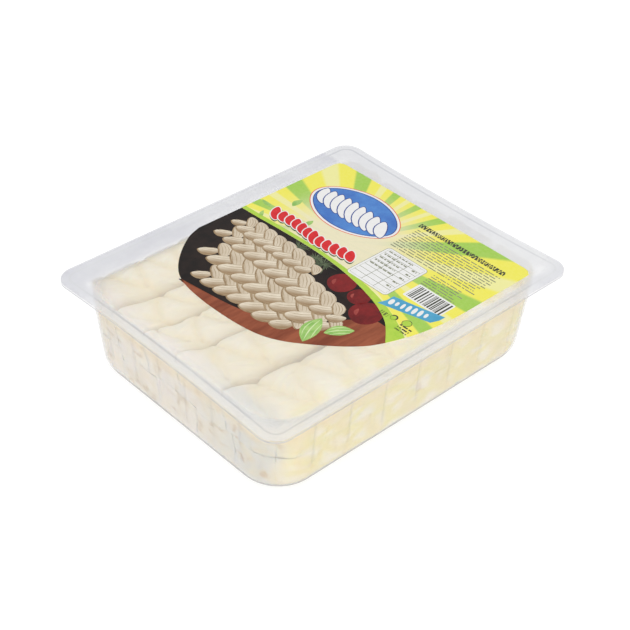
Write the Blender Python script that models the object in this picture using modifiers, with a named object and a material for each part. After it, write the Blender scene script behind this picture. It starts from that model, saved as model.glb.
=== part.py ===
"""Sealed clear tray of braided string cheese: ten plaited sticks in two layers under a film lid.

Frame: metres, +Z up, origin at the middle of the underside, +X along the braids.
The tray stands on its flat floor.
"""

import math

import bmesh
import bpy
from mathutils import Matrix, Vector

MM = 0.001

# Tray, outside sizes
LENGTH = 190.0 * MM
WIDTH = 154.5 * MM
DEPTH = 49.0 * MM
SHEET = 0.6 * MM

# Flange: a low outer rim, a raised sealing land, then the rounded mouth
RIM_DROP = 0.5 * MM
RIM_WIDTH = 3.8 * MM
STEP_RUN = 0.5 * MM
LAND_INNER = 7.2 * MM
MOUTH_RADIUS = 1.2 * MM
RIM_CORNER = 7.0 * MM
LAND_CORNER = 17.0 * MM
SHORT_SIDE_BOW = 1.5 * MM

# Walls and floor
WALL_INSET = 7.6 * MM
DRAFT = 0.06
MOUTH_CORNER = 18.0 * MM
CORNER_GROWTH = 0.06
FLOOR_FILLET = 9.4 * MM
FILLET_STEPS = 4

# Outline resolution and shading
CORNER_STEPS = 6
SIDE_STEPS = 4
SHARP_ANGLE = math.radians(40)

# Upright ribs pressed into the walls
RIBS_LONG = 7
RIBS_SHORT = 6
RIB_PITCH_LONG = 21.4 * MM
RIB_PITCH_SHORT = 18.6 * MM
RIB_HALF_WIDTH = 1.1 * MM
RIB_RELIEF = 0.5 * MM
RIB_MIDDLE = 27.0 * MM
RIB_HALF_LENGTH = 17.0 * MM

# Film lid
FILM_GAP = 0.3 * MM
FILM = 0.3 * MM

# Cheese: plaited sticks, pressed together in two layers
LAYER_SPLIT = 24.0 * MM
CLEAR = 0.45 * MM
BRAID_END_GAP = 0.9 * MM
END_LENGTH = 6.0 * MM
END_SIZE = 0.80
END_STATIONS = (0.0, 0.15, 0.45)
STRANDS = 3
STRAND_SHARE = 0.52
STRAND_PITCH = 57.0 * MM
CORE_SHARE = 0.86
CORE_SQUARENESS = 2.6
BLEND_POWER = 16

# One row for each braid: name, width, height, height of its middle, plait phase, pitch factor
TOP_LAYER = (
    ("braid_top_1", 32.5, 24.0, 36.5, 0.3, 1.00),
    ("braid_top_2", 31.0, 24.5, 36.6, 2.4, 1.06),
    ("braid_top_3", 23.5, 23.0, 35.6, 1.2, 0.94),
    ("braid_top_4", 22.5, 22.5, 35.4, 3.9, 1.03),
    ("braid_top_5", 28.0, 24.5, 36.6, 5.0, 0.97),
)
LOW_LAYER = (
    ("braid_low_1", 27.5, 23.4, 12.4, 1.7, 0.96),
    ("braid_low_2", 26.0, 23.0, 12.3, 4.4, 1.04),
    ("braid_low_3", 27.5, 23.4, 12.4, 0.6, 1.00),
    ("braid_low_4", 26.5, 23.2, 12.3, 3.1, 0.95),
    ("braid_low_5", 26.5, 23.4, 12.4, 5.6, 1.05),
)
TOP_STATIONS = 31
LOW_STATIONS = 22
AROUND_TOP = 12
AROUND_LOW = 10


def clear_scene():
    for thing in list(bpy.data.objects):
        bpy.data.objects.remove(thing, do_unlink=True)


def new_collection(name):
    collection = bpy.data.collections.new(name)
    bpy.context.scene.collection.children.link(collection)
    return collection


def principled(name, colour, roughness, metallic=0.0, alpha=1.0):
    material = bpy.data.materials.new(name)
    material.use_nodes = True
    shader = material.node_tree.nodes["Principled BSDF"]
    shader.inputs["Base Color"].default_value = (*colour, 1.0)
    shader.inputs["Roughness"].default_value = roughness
    shader.inputs["Metallic"].default_value = metallic
    shader.inputs["Alpha"].default_value = alpha
    return material


def tray_material():
    return principled("clear_tray", (0.86, 0.87, 0.90), 0.12, alpha=0.35)


def film_material():
    return principled("clear_film", (0.88, 0.88, 0.92), 0.10, alpha=0.30)


def cheese_material(name):
    return principled(name + "_cheese", (0.86, 0.80, 0.62), 0.45)


def rounded_outline(inset, corner, bow):
    """Points round a rounded rectangle, anticlockwise, with the short sides bowed inward."""
    half_x = LENGTH / 2 - inset
    half_y = WIDTH / 2 - inset
    corners = ((1, 1, 0.0), (-1, 1, 0.5), (-1, -1, 1.0), (1, -1, 1.5))
    arcs = []
    for sign_x, sign_y, start in corners:
        middle = Vector((sign_x * (half_x - corner), sign_y * (half_y - corner)))
        angles = [math.pi * (start + 0.5 * i / CORNER_STEPS) for i in range(CORNER_STEPS + 1)]
        arcs.append([middle + corner * Vector((math.cos(a), math.sin(a))) for a in angles])
    points = []
    for index, arc in enumerate(arcs):
        points += arc
        here, there = arc[-1], arcs[(index + 1) % 4][0]
        short_side = index % 2 == 1
        for i in range(1, SIDE_STEPS):
            share = i / SIDE_STEPS
            point = here.lerp(there, share)
            if short_side:
                point.x -= math.copysign(bow * 4 * share * (1 - share), point.x)
            points.append(point)
    return points


def loft(mesh, rings, close_start, close_end):
    """Skin rings of equal length with quads, and fill the ends that are asked for."""
    loops = [[mesh.verts.new(point) for point in ring] for ring in rings]
    count = len(loops[0])
    for low, high in zip(loops, loops[1:]):
        for i in range(count):
            j = (i + 1) % count
            mesh.faces.new((low[i], low[j], high[j], high[i]))
    if close_start:
        mesh.faces.new(list(reversed(loops[0])))
    if close_end:
        mesh.faces.new(loops[-1])


def mesh_object(name, mesh, collection, material):
    data = bpy.data.meshes.new(name)
    bmesh.ops.recalc_face_normals(mesh, faces=mesh.faces)
    mesh.to_mesh(data)
    mesh.free()
    data.shade_smooth()
    data.set_sharp_from_angle(angle=SHARP_ANGLE)
    thing = bpy.data.objects.new(name, data)
    if material:
        data.materials.append(material)
    collection.objects.link(thing)
    return thing


def wall_inset(height):
    """How far the tray's inner face lies inside its outer edge at a height."""
    inset = WALL_INSET + DRAFT * (DEPTH - height)
    above_floor = height - SHEET
    if above_floor < FLOOR_FILLET:
        drop = 1 - max(above_floor, 0.0) / FLOOR_FILLET
        inset += FLOOR_FILLET * (1 - math.sqrt(max(0.0, 1 - drop * drop)))
    return inset


def wall_corner(height):
    """Plan radius of the inner corners at a height."""
    corner = MOUTH_CORNER + CORNER_GROWTH * (DEPTH - height)
    plain = WALL_INSET + DRAFT * (DEPTH - height)
    return corner - (wall_inset(height) - plain)


def tray_rings():
    """Inner and upper face of the tray, from the flange's edge to the floor."""
    rim_height = DEPTH - RIM_DROP
    rows = [
        (0.0, rim_height, RIM_CORNER, SHORT_SIDE_BOW),
        (RIM_WIDTH, rim_height, LAND_CORNER, SHORT_SIDE_BOW),
        (RIM_WIDTH + STEP_RUN, DEPTH, LAND_CORNER, SHORT_SIDE_BOW),
        (LAND_INNER, DEPTH, MOUTH_CORNER, SHORT_SIDE_BOW / 2),
    ]
    below_mouth = DEPTH - MOUTH_RADIUS
    rows.append((wall_inset(below_mouth), below_mouth, wall_corner(below_mouth), 0.0))
    for i in range(FILLET_STEPS + 1):
        angle = 0.5 * math.pi * i / FILLET_STEPS
        height = SHEET + FLOOR_FILLET * (1 - math.sin(angle))
        rows.append((wall_inset(height), height, wall_corner(height), 0.0))
    for inset, height, corner, bow in rows:
        yield [Vector((p.x, p.y, height)) for p in rounded_outline(inset, corner, bow)]


def rib_cutters(collection):
    """Slim upright ribs, half sunk in the walls' outer faces, as one object."""
    mesh = bmesh.new()
    depth = DEPTH - RIB_MIDDLE
    inset = WALL_INSET - SHEET + DRAFT * depth
    slope = math.atan(DRAFT)
    sides = (
        (0.0, WIDTH / 2 - inset, RIBS_LONG, RIB_PITCH_LONG),
        (0.5, LENGTH / 2 - inset, RIBS_SHORT, RIB_PITCH_SHORT),
        (1.0, WIDTH / 2 - inset, RIBS_LONG, RIB_PITCH_LONG),
        (1.5, LENGTH / 2 - inset, RIBS_SHORT, RIB_PITCH_SHORT),
    )
    for turn, distance, count, pitch in sides:
        facing = Matrix.Rotation(math.pi * turn, 4, "Z")
        for i in range(count):
            along = (i - (count - 1) / 2) * pitch
            place = Matrix.Translation((along, -distance, RIB_MIDDLE))
            tilt = Matrix.Rotation(slope, 4, "X")
            size = Matrix.Diagonal((RIB_HALF_WIDTH, RIB_RELIEF, RIB_HALF_LENGTH, 1.0))
            bmesh.ops.create_uvsphere(
                mesh, u_segments=6, v_segments=4, radius=1.0, matrix=facing @ place @ tilt @ size
            )
    ribs = mesh_object("wall_ribs", mesh, collection, None)
    ribs.hide_render = True
    ribs.display_type = "WIRE"
    return ribs


def make_tray(collection, cutters):
    mesh = bmesh.new()
    loft(mesh, list(tray_rings()), close_start=False, close_end=True)
    tray = mesh_object("tray", mesh, collection, tray_material())
    shell = tray.modifiers.new("Sheet", "SOLIDIFY")
    shell.thickness = SHEET
    shell.offset = -1.0
    shell.use_even_offset = True
    union = tray.modifiers.new("Ribs", "BOOLEAN")
    union.operation = "UNION"
    union.object = rib_cutters(cutters)
    return tray


def make_film(collection):
    """Film lid, cut to the flange's outline."""
    outline = rounded_outline(0.0, RIM_CORNER, SHORT_SIDE_BOW)
    curve = bpy.data.curves.new("lid_film", "CURVE")
    curve.dimensions = "2D"
    curve.fill_mode = "BOTH"
    curve.extrude = FILM / 2
    spline = curve.splines.new("POLY")
    spline.points.add(len(outline) - 1)
    for point, place in zip(spline.points, outline):
        point.co = (place.x, place.y, 0.0, 1.0)
    spline.use_cyclic_u = True
    curve.materials.append(film_material())
    film = bpy.data.objects.new("lid_film", curve)
    film.location.z = DEPTH + FILM_GAP + FILM / 2
    collection.objects.link(film)


def end_scale(distance):
    """Size of a braid's section at a distance from its nearer end."""
    share = min(1.0, distance / END_LENGTH)
    return END_SIZE + (1 - END_SIZE) * math.sqrt(1 - (1 - share) ** 2)


def station_distances(length, count):
    """Distances along a braid: close together at its blunt ends, even between them."""
    near = [END_LENGTH * share for share in END_STATIONS]
    even = [END_LENGTH + (length - 2 * END_LENGTH) * i / count for i in range(count + 1)]
    far = [length - distance for distance in reversed(near)]
    return near + even + far


def plait_reach(turn, angle, half_width, half_height):
    """Reach of a plaited section from its middle in one direction, softly blended."""
    strand = STRAND_SHARE * half_height
    sway = half_width - strand
    lift = half_height - strand
    direction = Vector((math.cos(angle), math.sin(angle)))
    square = abs(direction.x / half_width) ** CORE_SQUARENESS
    square += abs(direction.y / half_height) ** CORE_SQUARENESS
    reaches = [CORE_SHARE * square ** (-1 / CORE_SQUARENESS)]
    for k in range(STRANDS):
        phase = turn + 2 * math.pi * k / STRANDS
        middle = Vector((sway * math.sin(phase), lift * math.sin(2 * phase)))
        along = middle.dot(direction)
        inside = strand ** 2 - middle.length_squared + along ** 2
        if inside > 0:
            reaches.append(max(0.0, along + math.sqrt(inside)))
    return sum(reach ** BLEND_POWER for reach in reaches) ** (1 / BLEND_POWER)


def into_tray(point, low, high, side_low, side_high):
    """Move a point inside the tray's walls and the braid's own slot, with clearance."""
    point.z = min(max(point.z, low), high)
    point.y = min(max(point.y, side_low), side_high)
    inset = wall_inset(point.z) + CLEAR
    corner = wall_corner(point.z)
    core = Vector((LENGTH / 2 - inset - corner, WIDTH / 2 - inset - corner))
    out_x = max(abs(point.x) - core.x, 0.0)
    out_y = max(abs(point.y) - core.y, 0.0)
    far = math.hypot(out_x, out_y)
    if far > corner:
        if out_x > 0:
            point.x = math.copysign(core.x + out_x * corner / far, point.x)
        if out_y > 0:
            point.y = math.copysign(core.y + out_y * corner / far, point.y)
    return point


def make_braid(collection, row, side_low, low, high, stations, around):
    """One plaited stick, pressed flat where it meets the walls and its neighbours."""
    name, width, height, middle, phase, pitch_factor = row
    half_width, half_height = width * MM / 2, height * MM / 2
    side_middle = side_low + half_width
    start = -LENGTH / 2 + wall_inset(middle * MM) + BRAID_END_GAP
    length = -2 * start
    limits = (low, high, side_low + CLEAR / 2, side_low + width * MM - CLEAR / 2)
    rings = []
    for distance in station_distances(length, stations):
        scale = end_scale(min(distance, length - distance))
        turn = phase + 2 * math.pi * distance / (STRAND_PITCH * pitch_factor)
        ring = []
        for j in range(around):
            angle = 2 * math.pi * j / around
            reach = scale * plait_reach(turn, angle, half_width, half_height)
            across = side_middle + reach * math.cos(angle)
            up = middle * MM + reach * math.sin(angle)
            ring.append(into_tray(Vector((start + distance, across, up)), *limits))
        rings.append(ring)
    mesh = bmesh.new()
    loft(mesh, rings, close_start=True, close_end=True)
    mesh_object(name, mesh, collection, cheese_material(name))


def make_layer(collection, layer, low, high, stations, around):
    side_low = -sum(row[1] for row in layer) * MM / 2
    for row in layer:
        make_braid(collection, row, side_low, low, high, stations, around)
        side_low += row[1] * MM


def main():
    clear_scene()
    collection = new_collection("braided_cheese_pack")
    cutters = new_collection("cutters")
    make_tray(collection, cutters)
    make_film(collection)
    floor = SHEET + CLEAR
    split_low = LAYER_SPLIT - CLEAR / 2
    split_high = LAYER_SPLIT + CLEAR / 2
    make_layer(collection, LOW_LAYER, floor, split_low, LOW_STATIONS, AROUND_LOW)
    make_layer(collection, TOP_LAYER, split_high, DEPTH - CLEAR, TOP_STATIONS, AROUND_TOP)


main()
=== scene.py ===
import math

import bmesh
import bpy
import numpy as np
from mathutils import Matrix


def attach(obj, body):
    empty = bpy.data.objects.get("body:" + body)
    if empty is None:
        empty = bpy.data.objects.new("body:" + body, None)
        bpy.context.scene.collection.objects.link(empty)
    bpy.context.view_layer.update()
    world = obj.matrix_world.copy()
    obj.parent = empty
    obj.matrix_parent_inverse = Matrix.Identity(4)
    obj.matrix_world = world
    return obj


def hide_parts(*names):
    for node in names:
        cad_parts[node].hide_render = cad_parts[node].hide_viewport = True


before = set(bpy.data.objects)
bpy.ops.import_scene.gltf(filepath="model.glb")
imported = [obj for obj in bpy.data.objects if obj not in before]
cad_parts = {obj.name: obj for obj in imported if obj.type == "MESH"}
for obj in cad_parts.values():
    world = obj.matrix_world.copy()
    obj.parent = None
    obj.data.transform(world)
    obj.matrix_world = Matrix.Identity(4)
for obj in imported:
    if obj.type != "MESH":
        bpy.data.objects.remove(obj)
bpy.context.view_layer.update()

# Looks for the sealed tray of plaited cheese. Sizes are in millimetres until a mesh is written.
mm = 0.001
print("frame loaded:", len(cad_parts), "nodes")


# ---------- small helpers for working in the viewport's way

def pickNothing():
    if bpy.context.mode != "OBJECT":
        bpy.ops.object.mode_set(mode="OBJECT")
    bpy.ops.object.select_all(action="DESELECT")


def pickOnly(piece):
    pickNothing()
    piece.select_set(True)
    bpy.context.view_layer.objects.active = piece


def nameNew(name):
    piece = bpy.context.object
    piece.name = name
    piece.data.name = name
    return piece


def writePlaces(piece, places):
    piece.data.vertices.foreach_set("co", (np.asarray(places, dtype=float) * mm).ravel())
    piece.data.update()


def readPlaces(piece):
    places = np.empty(len(piece.data.vertices) * 3)
    piece.data.vertices.foreach_get("co", places)
    return places.reshape(-1, 3)


def joinInto(name, pieces):
    pickNothing()
    for piece in pieces:
        piece.select_set(True)
    bpy.context.view_layer.objects.active = pieces[0]
    if len(pieces) > 1:
        bpy.ops.object.join()
    return nameNew(name)


def applyAll(piece):
    pickOnly(piece)
    for modifier in list(piece.modifiers):
        bpy.ops.object.modifier_apply(modifier=modifier.name)


def finishPiece(piece, material, angle=35):
    pickOnly(piece)
    bpy.ops.object.shade_smooth_by_angle(angle=math.radians(angle))
    piece.data.materials.clear()
    piece.data.materials.append(material)
    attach(piece, "root")
    return piece


def setUp(name):
    material = bpy.data.materials.new(name)
    material.use_nodes = True
    tree = material.node_tree
    return material, tree, tree.nodes["Principled BSDF"]


def put(tree, kind, settings=None, values=None):
    node = tree.nodes.new(kind)
    for key, value in (settings or {}).items():
        setattr(node, key, value)
    for key, value in (values or {}).items():
        node.inputs[key].default_value = value
    return node


def wire(tree, source, target):
    tree.links.new(source, target)


def blendColours(tree, mask, low, high):
    mix = put(tree, "ShaderNodeMix", {"data_type": "RGBA"})
    wire(tree, mask, mix.inputs["Factor"])
    for socket, colour in ((mix.inputs[6], low), (mix.inputs[7], high)):
        if hasattr(colour, "is_output"):
            wire(tree, colour, socket)
        else:
            socket.default_value = (*colour, 1.0)
    return mix.outputs[2]


def calc(tree, operation, first, second=None, clamp=False):
    node = put(tree, "ShaderNodeMath", {"operation": operation, "use_clamp": clamp})
    for socket, value in zip(node.inputs, (first, second)):
        if hasattr(value, "is_output"):
            wire(tree, value, socket)
        elif value is not None:
            socket.default_value = value
    return node.outputs[0]


def ramp(tree, source, low, high, lowValue=0.0, highValue=1.0):
    node = put(tree, "ShaderNodeMapRange", {"interpolation_type": "SMOOTHSTEP"})
    wire(tree, source, node.inputs["Value"])
    for key, value in (("From Min", low), ("From Max", high), ("To Min", lowValue), ("To Max", highValue)):
        node.inputs[key].default_value = value
    return node.outputs["Result"]


# ---------- shared effects

def newGroup(name, inputs, outputs):
    group = bpy.data.node_groups.new(name, "ShaderNodeTree")
    for label, kind in inputs:
        group.interface.new_socket(name=label, in_out="INPUT", socket_type=kind)
    for label, kind in outputs:
        group.interface.new_socket(name=label, in_out="OUTPUT", socket_type=kind)
    return group, group.nodes.new("NodeGroupInput"), group.nodes.new("NodeGroupOutput")


def makeFibreGroup():
    # fine strings pulled along a strand: streaks long in U and narrow in V
    group, start, end = newGroup(
        "stringFibres",
        (("Vector", "NodeSocketVector"), ("Scale", "NodeSocketFloat")),
        (("Height", "NodeSocketFloat"), ("Shade", "NodeSocketFloat")),
    )
    stretch = put(group, "ShaderNodeMapping")
    stretch.inputs["Scale"].default_value = (0.07, 1.0, 1.0)
    wire(group, start.outputs["Vector"], stretch.inputs["Vector"])
    coarse = put(group, "ShaderNodeTexNoise", values={"Detail": 4.0, "Roughness": 0.6, "Distortion": 0.3})
    wire(group, stretch.outputs[0], coarse.inputs["Vector"])
    wire(group, start.outputs["Scale"], coarse.inputs["Scale"])
    fine = put(group, "ShaderNodeTexNoise", values={"Detail": 3.0, "Roughness": 0.65})
    wire(group, stretch.outputs[0], fine.inputs["Vector"])
    wire(group, calc(group, "MULTIPLY", start.outputs["Scale"], 3.7), fine.inputs["Scale"])
    height = calc(group, "MULTIPLY_ADD", fine.outputs["Fac"], 0.35)
    wire(group, coarse.outputs["Fac"], height.node.inputs[2])
    wire(group, height, end.inputs["Height"])
    wire(group, ramp(group, coarse.outputs["Fac"], 0.36, 0.64), end.inputs["Shade"])
    return group


def makeFilmGroup():
    # slow waves and cloudy haze of pressed plastic
    group, start, end = newGroup(
        "plasticWaves",
        (("Vector", "NodeSocketVector"), ("Scale", "NodeSocketFloat")),
        (("Height", "NodeSocketFloat"), ("Haze", "NodeSocketFloat")),
    )
    waves = put(group, "ShaderNodeTexNoise", values={"Detail": 2.0, "Roughness": 0.45})
    haze = put(group, "ShaderNodeTexNoise", values={"Detail": 5.0, "Roughness": 0.6})
    for node in (waves, haze):
        wire(group, start.outputs["Vector"], node.inputs["Vector"])
    wire(group, start.outputs["Scale"], waves.inputs["Scale"])
    wire(group, calc(group, "MULTIPLY", start.outputs["Scale"], 0.6), haze.inputs["Scale"])
    wire(group, waves.outputs["Fac"], end.inputs["Height"])
    wire(group, ramp(group, haze.outputs["Fac"], 0.35, 0.68), end.inputs["Haze"])
    return group


def makeInkGroup():
    # uneven ink and a faint orange-peel gloss on printed film
    group, start, end = newGroup(
        "inkGrain",
        (("Vector", "NodeSocketVector"), ("Scale", "NodeSocketFloat")),
        (("Height", "NodeSocketFloat"), ("Tone", "NodeSocketFloat")),
    )
    tone = put(group, "ShaderNodeTexNoise", values={"Detail": 6.0, "Roughness": 0.7})
    peel = put(group, "ShaderNodeTexNoise", values={"Detail": 1.0, "Roughness": 0.5})
    for node in (tone, peel):
        wire(group, start.outputs["Vector"], node.inputs["Vector"])
    wire(group, start.outputs["Scale"], tone.inputs["Scale"])
    wire(group, calc(group, "MULTIPLY", start.outputs["Scale"], 2.5), peel.inputs["Scale"])
    wire(group, peel.outputs["Fac"], end.inputs["Height"])
    wire(group, ramp(group, tone.outputs["Fac"], 0.3, 0.7), end.inputs["Tone"])
    return group


fibreGroup = makeFibreGroup()
filmGroup = makeFilmGroup()
inkGroup = makeInkGroup()


def placeGroup(tree, group, source, scale):
    node = put(tree, "ShaderNodeGroup", {"node_tree": group})
    node.inputs["Scale"].default_value = scale
    wire(tree, source, node.inputs["Vector"])
    return node


def roughen(tree, shader, height, strength, distance):
    bump = put(tree, "ShaderNodeBump", values={"Strength": strength, "Distance": distance})
    wire(tree, height, bump.inputs["Height"])
    wire(tree, bump.outputs["Normal"], shader.inputs["Normal"])


print("shared effects ready")

# ---------- camera, floor and light

view = {
    "place": (-0.37676, -0.38780, 0.43797),
    "right": (0.73206, -0.68060, 0.02964),
    "down": (-0.39674, -0.46130, -0.79360),
    "ahead": (0.55379, 0.56920, -0.60772),
    "lens": 80.93,
}
studio = {"world": 0.92, "overhead": 2.6, "front": 6.0, "floor": 0.30, "floorGlow": 0.76}


def makeCamera():
    data = bpy.data.cameras.new("viewCamera")
    data.sensor_width = 36.0
    data.lens = view["lens"]
    camera = bpy.data.objects.new("viewCamera", data)
    bpy.context.scene.collection.objects.link(camera)
    columns = (view["right"], [-part for part in view["down"]], [-part for part in view["ahead"]])
    turn = Matrix(columns).transposed().to_4x4()
    camera.matrix_world = Matrix.Translation(view["place"]) @ turn
    bpy.context.scene.camera = camera


def makeArea(name, place, size, power, colour):
    data = bpy.data.lights.new(name, "AREA")
    data.shape = "SQUARE"
    data.size = size
    data.energy = power
    data.color = colour
    light = bpy.data.objects.new(name, data)
    light.location = place
    direction = -light.location.normalized()
    light.rotation_euler = direction.to_track_quat("-Z", "Y").to_euler()
    bpy.context.scene.collection.objects.link(light)


def makeStudio():
    world = bpy.data.worlds.new("studioWorld")
    world.use_nodes = True
    background = world.node_tree.nodes["Background"]
    background.inputs["Color"].default_value = (1.0, 1.0, 1.0, 1.0)
    background.inputs["Strength"].default_value = studio["world"]
    bpy.context.scene.world = world
    makeArea("overheadLight", (0.15, -0.10, 1.3), 1.1, studio["overhead"], (1.0, 1.0, 1.0))
    makeArea("frontLight", (-0.75, -0.85, 0.75), 1.0, studio["front"], (1.0, 0.99, 0.98))

    pickNothing()
    bpy.ops.mesh.primitive_plane_add(size=6.0, location=(0, 0, -0.00005))
    floor = nameNew("studioFloor")
    material, tree, shader = setUp("paleFloor")
    shader.inputs["Roughness"].default_value = 0.9
    shader.inputs["Specular IOR Level"].default_value = 0.1
    shader.inputs["Emission Color"].default_value = (1.0, 1.0, 1.0, 1.0)
    shader.inputs["Emission Strength"].default_value = studio["floorGlow"]
    place = put(tree, "ShaderNodeTexCoord").outputs["Object"]
    paper = put(tree, "ShaderNodeTexNoise", values={"Scale": 40.0, "Detail": 3.0})
    wire(tree, place, paper.inputs["Vector"])
    tone = studio["floor"]
    wire(tree, blendColours(tree, paper.outputs["Fac"], (tone,) * 3, (tone + 0.015,) * 3), shader.inputs["Base Color"])
    floor.data.materials.append(material)
    pickOnly(floor)
    bpy.ops.object.transform_apply(location=True, rotation=True, scale=True)
    scene = bpy.context.scene
    scene.view_settings.view_transform = "Standard"
    scene.view_settings.look = "None"
    scene.view_settings.exposure = 0.0
    scene.view_settings.gamma = 1.0


makeCamera()
makeStudio()
print("camera and studio ready")

# ---------- clear tray

tray = {
    "length": 190.0, "width": 154.5, "depth": 49.0, "sheet": 0.6,
    "rimDrop": 0.5, "rimWidth": 3.8, "stepRun": 0.5, "landInner": 7.2, "mouthRadius": 1.2,
    "rimCorner": 9.5, "landCorner": 17.0, "shortSideBow": 1.5,
    "wallInset": 7.6, "draft": 0.06, "mouthCorner": 18.0, "cornerGrowth": 0.06, "floorFillet": 9.4,
    "ribs": ((7, 21.4, 66.0), (6, 18.6, 49.0)),  # count, pitch and reach on the long and short sides
    "ribHalfWidth": 0.8, "ribRelief": 0.28, "ribMiddle": 27.0, "ribHalfLength": 17.0,
    "cornerSteps": 14, "sideStep": 5.0, "wallSteps": 11, "filletSteps": 9, "mouthSteps": 4,
}


def wallInset(height):
    inset = tray["wallInset"] + tray["draft"] * (tray["depth"] - height)
    drop = np.clip(1 - (height - tray["sheet"]) / tray["floorFillet"], 0.0, 1.0)
    return inset + tray["floorFillet"] * (1 - np.sqrt(1 - drop * drop))


def wallCorner(height):
    plain = tray["wallInset"] + tray["draft"] * (tray["depth"] - height)
    corner = tray["mouthCorner"] + tray["cornerGrowth"] * (tray["depth"] - height)
    return corner - (wallInset(height) - plain)


def sideStops(count, pitch, reach):
    # places along one side: even ones, and close ones across each rib
    stops = set(np.round(np.arange(-reach, reach + 0.1, tray["sideStep"]), 2))
    for i in range(count):
        middle = (i - (count - 1) / 2) * pitch
        stops = {stop for stop in stops if abs(stop - middle) > 1.6}
        stops |= {round(middle + share * tray["ribHalfWidth"], 2) for share in (-1.4, -1, -0.5, 0, 0.5, 1, 1.4)}
    return sorted(stops)


def outlineAt(inset, corner, bow, height, stopSets, ribs=False):
    halfX = tray["length"] / 2 - inset
    halfY = tray["width"] / 2 - inset
    points = []
    corners = ((1, 1, 0.0), (-1, 1, 0.5), (-1, -1, 1.0), (1, -1, 1.5))
    for signX, signY, start in corners:
        for i in range(tray["cornerSteps"] + 1):
            angle = math.pi * (start + 0.5 * i / tray["cornerSteps"])
            points.append((signX * (halfX - corner) + corner * math.cos(angle),
                           signY * (halfY - corner) + corner * math.sin(angle), height))
        longSide = signX * signY > 0
        count, pitch, reach = tray["ribs"][0 if longSide else 1]
        flat = (halfX if longSide else halfY) - corner
        shrink = min(1.0, flat / (reach + 0.5))
        for stop in stopSets[0 if longSide else 1]:
            along = stop * shrink
            out = ribOut(stop, count, pitch, height) if ribs else 0.0
            if longSide:  # back side runs towards -X, front side towards +X
                points.append((-signY * along, signY * (halfY + out), height))
            else:
                share = (along + flat) / (2 * flat)
                away = halfX + out - bow * 4 * share * (1 - share)
                points.append((signX * away, signX * along, height))
    return np.array(points)


def ribOut(stop, count, pitch, height):
    up = (height - tray["ribMiddle"]) / tray["ribHalfLength"]
    if abs(up) >= 1:
        return 0.0
    nearest = min(abs(stop - (i - (count - 1) / 2) * pitch) for i in range(count))
    across = min(1.0, nearest / tray["ribHalfWidth"])
    return tray["ribRelief"] * math.sqrt(1 - up * up) * (1 - across) ** 0.8


def trayRows():
    # inset, height, corner radius, bow and whether ribs stand there, from the rim to the floor
    depth = tray["depth"]
    low = depth - tray["rimDrop"]
    bow = tray["shortSideBow"]
    yield 0.0, low, tray["rimCorner"], bow, False
    yield tray["rimWidth"], low, tray["landCorner"], bow, False
    yield tray["rimWidth"] + tray["stepRun"], depth, tray["landCorner"], bow, False
    yield tray["landInner"], depth, tray["mouthCorner"], 0.0, False
    below = depth - tray["mouthRadius"]
    for i in range(1, tray["mouthSteps"]):
        angle = 0.5 * math.pi * i / tray["mouthSteps"]
        inset = tray["landInner"] + (float(wallInset(below)) - tray["landInner"]) * math.sin(angle)
        yield inset, below + tray["mouthRadius"] * math.cos(angle), tray["mouthCorner"], 0.0, False
    foot = tray["sheet"] + tray["floorFillet"]
    for i in range(tray["wallSteps"] + 1):
        height = below + (foot - below) * i / tray["wallSteps"]
        yield float(wallInset(height)), height, float(wallCorner(height)), 0.0, True
    for i in range(1, tray["filletSteps"] + 1):
        angle = 0.5 * math.pi * i / tray["filletSteps"]
        height = tray["sheet"] + tray["floorFillet"] * (1 - math.sin(angle))
        yield float(wallInset(height)), height, float(wallCorner(height)), 0.0, False


def ringStart(name, ring):
    # an open circle whose points go to a ring's places
    pickNothing()
    bpy.ops.mesh.primitive_circle_add(vertices=len(ring), radius=mm, fill_type="NOTHING")
    piece = nameNew(name)
    writePlaces(piece, ring)
    return piece


def pullRing(piece, ring):
    # extrude the open edge and set each new point above its old one
    bpy.ops.mesh.extrude_edges_move(TRANSFORM_OT_translate={"value": (0.0, 0.0, 0.0)})
    mesh = bmesh.from_edit_mesh(piece.data)
    mesh.verts.ensure_lookup_table()
    old = len(mesh.verts) - 2 * len(ring)
    for vertex in mesh.verts:
        if vertex.select:
            below = next(edge.other_vert(vertex) for edge in vertex.link_edges
                         if not edge.other_vert(vertex).select)
            vertex.co = ring[(below.index - old) % len(ring)] * mm
    bmesh.update_edit_mesh(piece.data)


def edgeDistance(tree, parts, corner):
    # how far a point lies inside the rounded edge of the lid
    overs = []
    share = calc(tree, "DIVIDE", parts.outputs["Y"], (tray["width"] / 2 - tray["rimCorner"]) * mm)
    bow = calc(tree, "SUBTRACT", 1.0, calc(tree, "MULTIPLY", share, share), clamp=True)
    bow = calc(tree, "MULTIPLY", bow, tray["shortSideBow"] * mm)
    for axis, half in (("X", tray["length"] / 2), ("Y", tray["width"] / 2)):
        away = calc(tree, "SUBTRACT", calc(tree, "ABSOLUTE", parts.outputs[axis]), (half - corner) * mm)
        if axis == "X":
            away = calc(tree, "ADD", away, bow)
        over = calc(tree, "MAXIMUM", away, 0.0)
        overs.append(calc(tree, "MULTIPLY", over, over))
    return calc(tree, "SUBTRACT", corner * mm, calc(tree, "SQRT", calc(tree, "ADD", *overs)))


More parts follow.
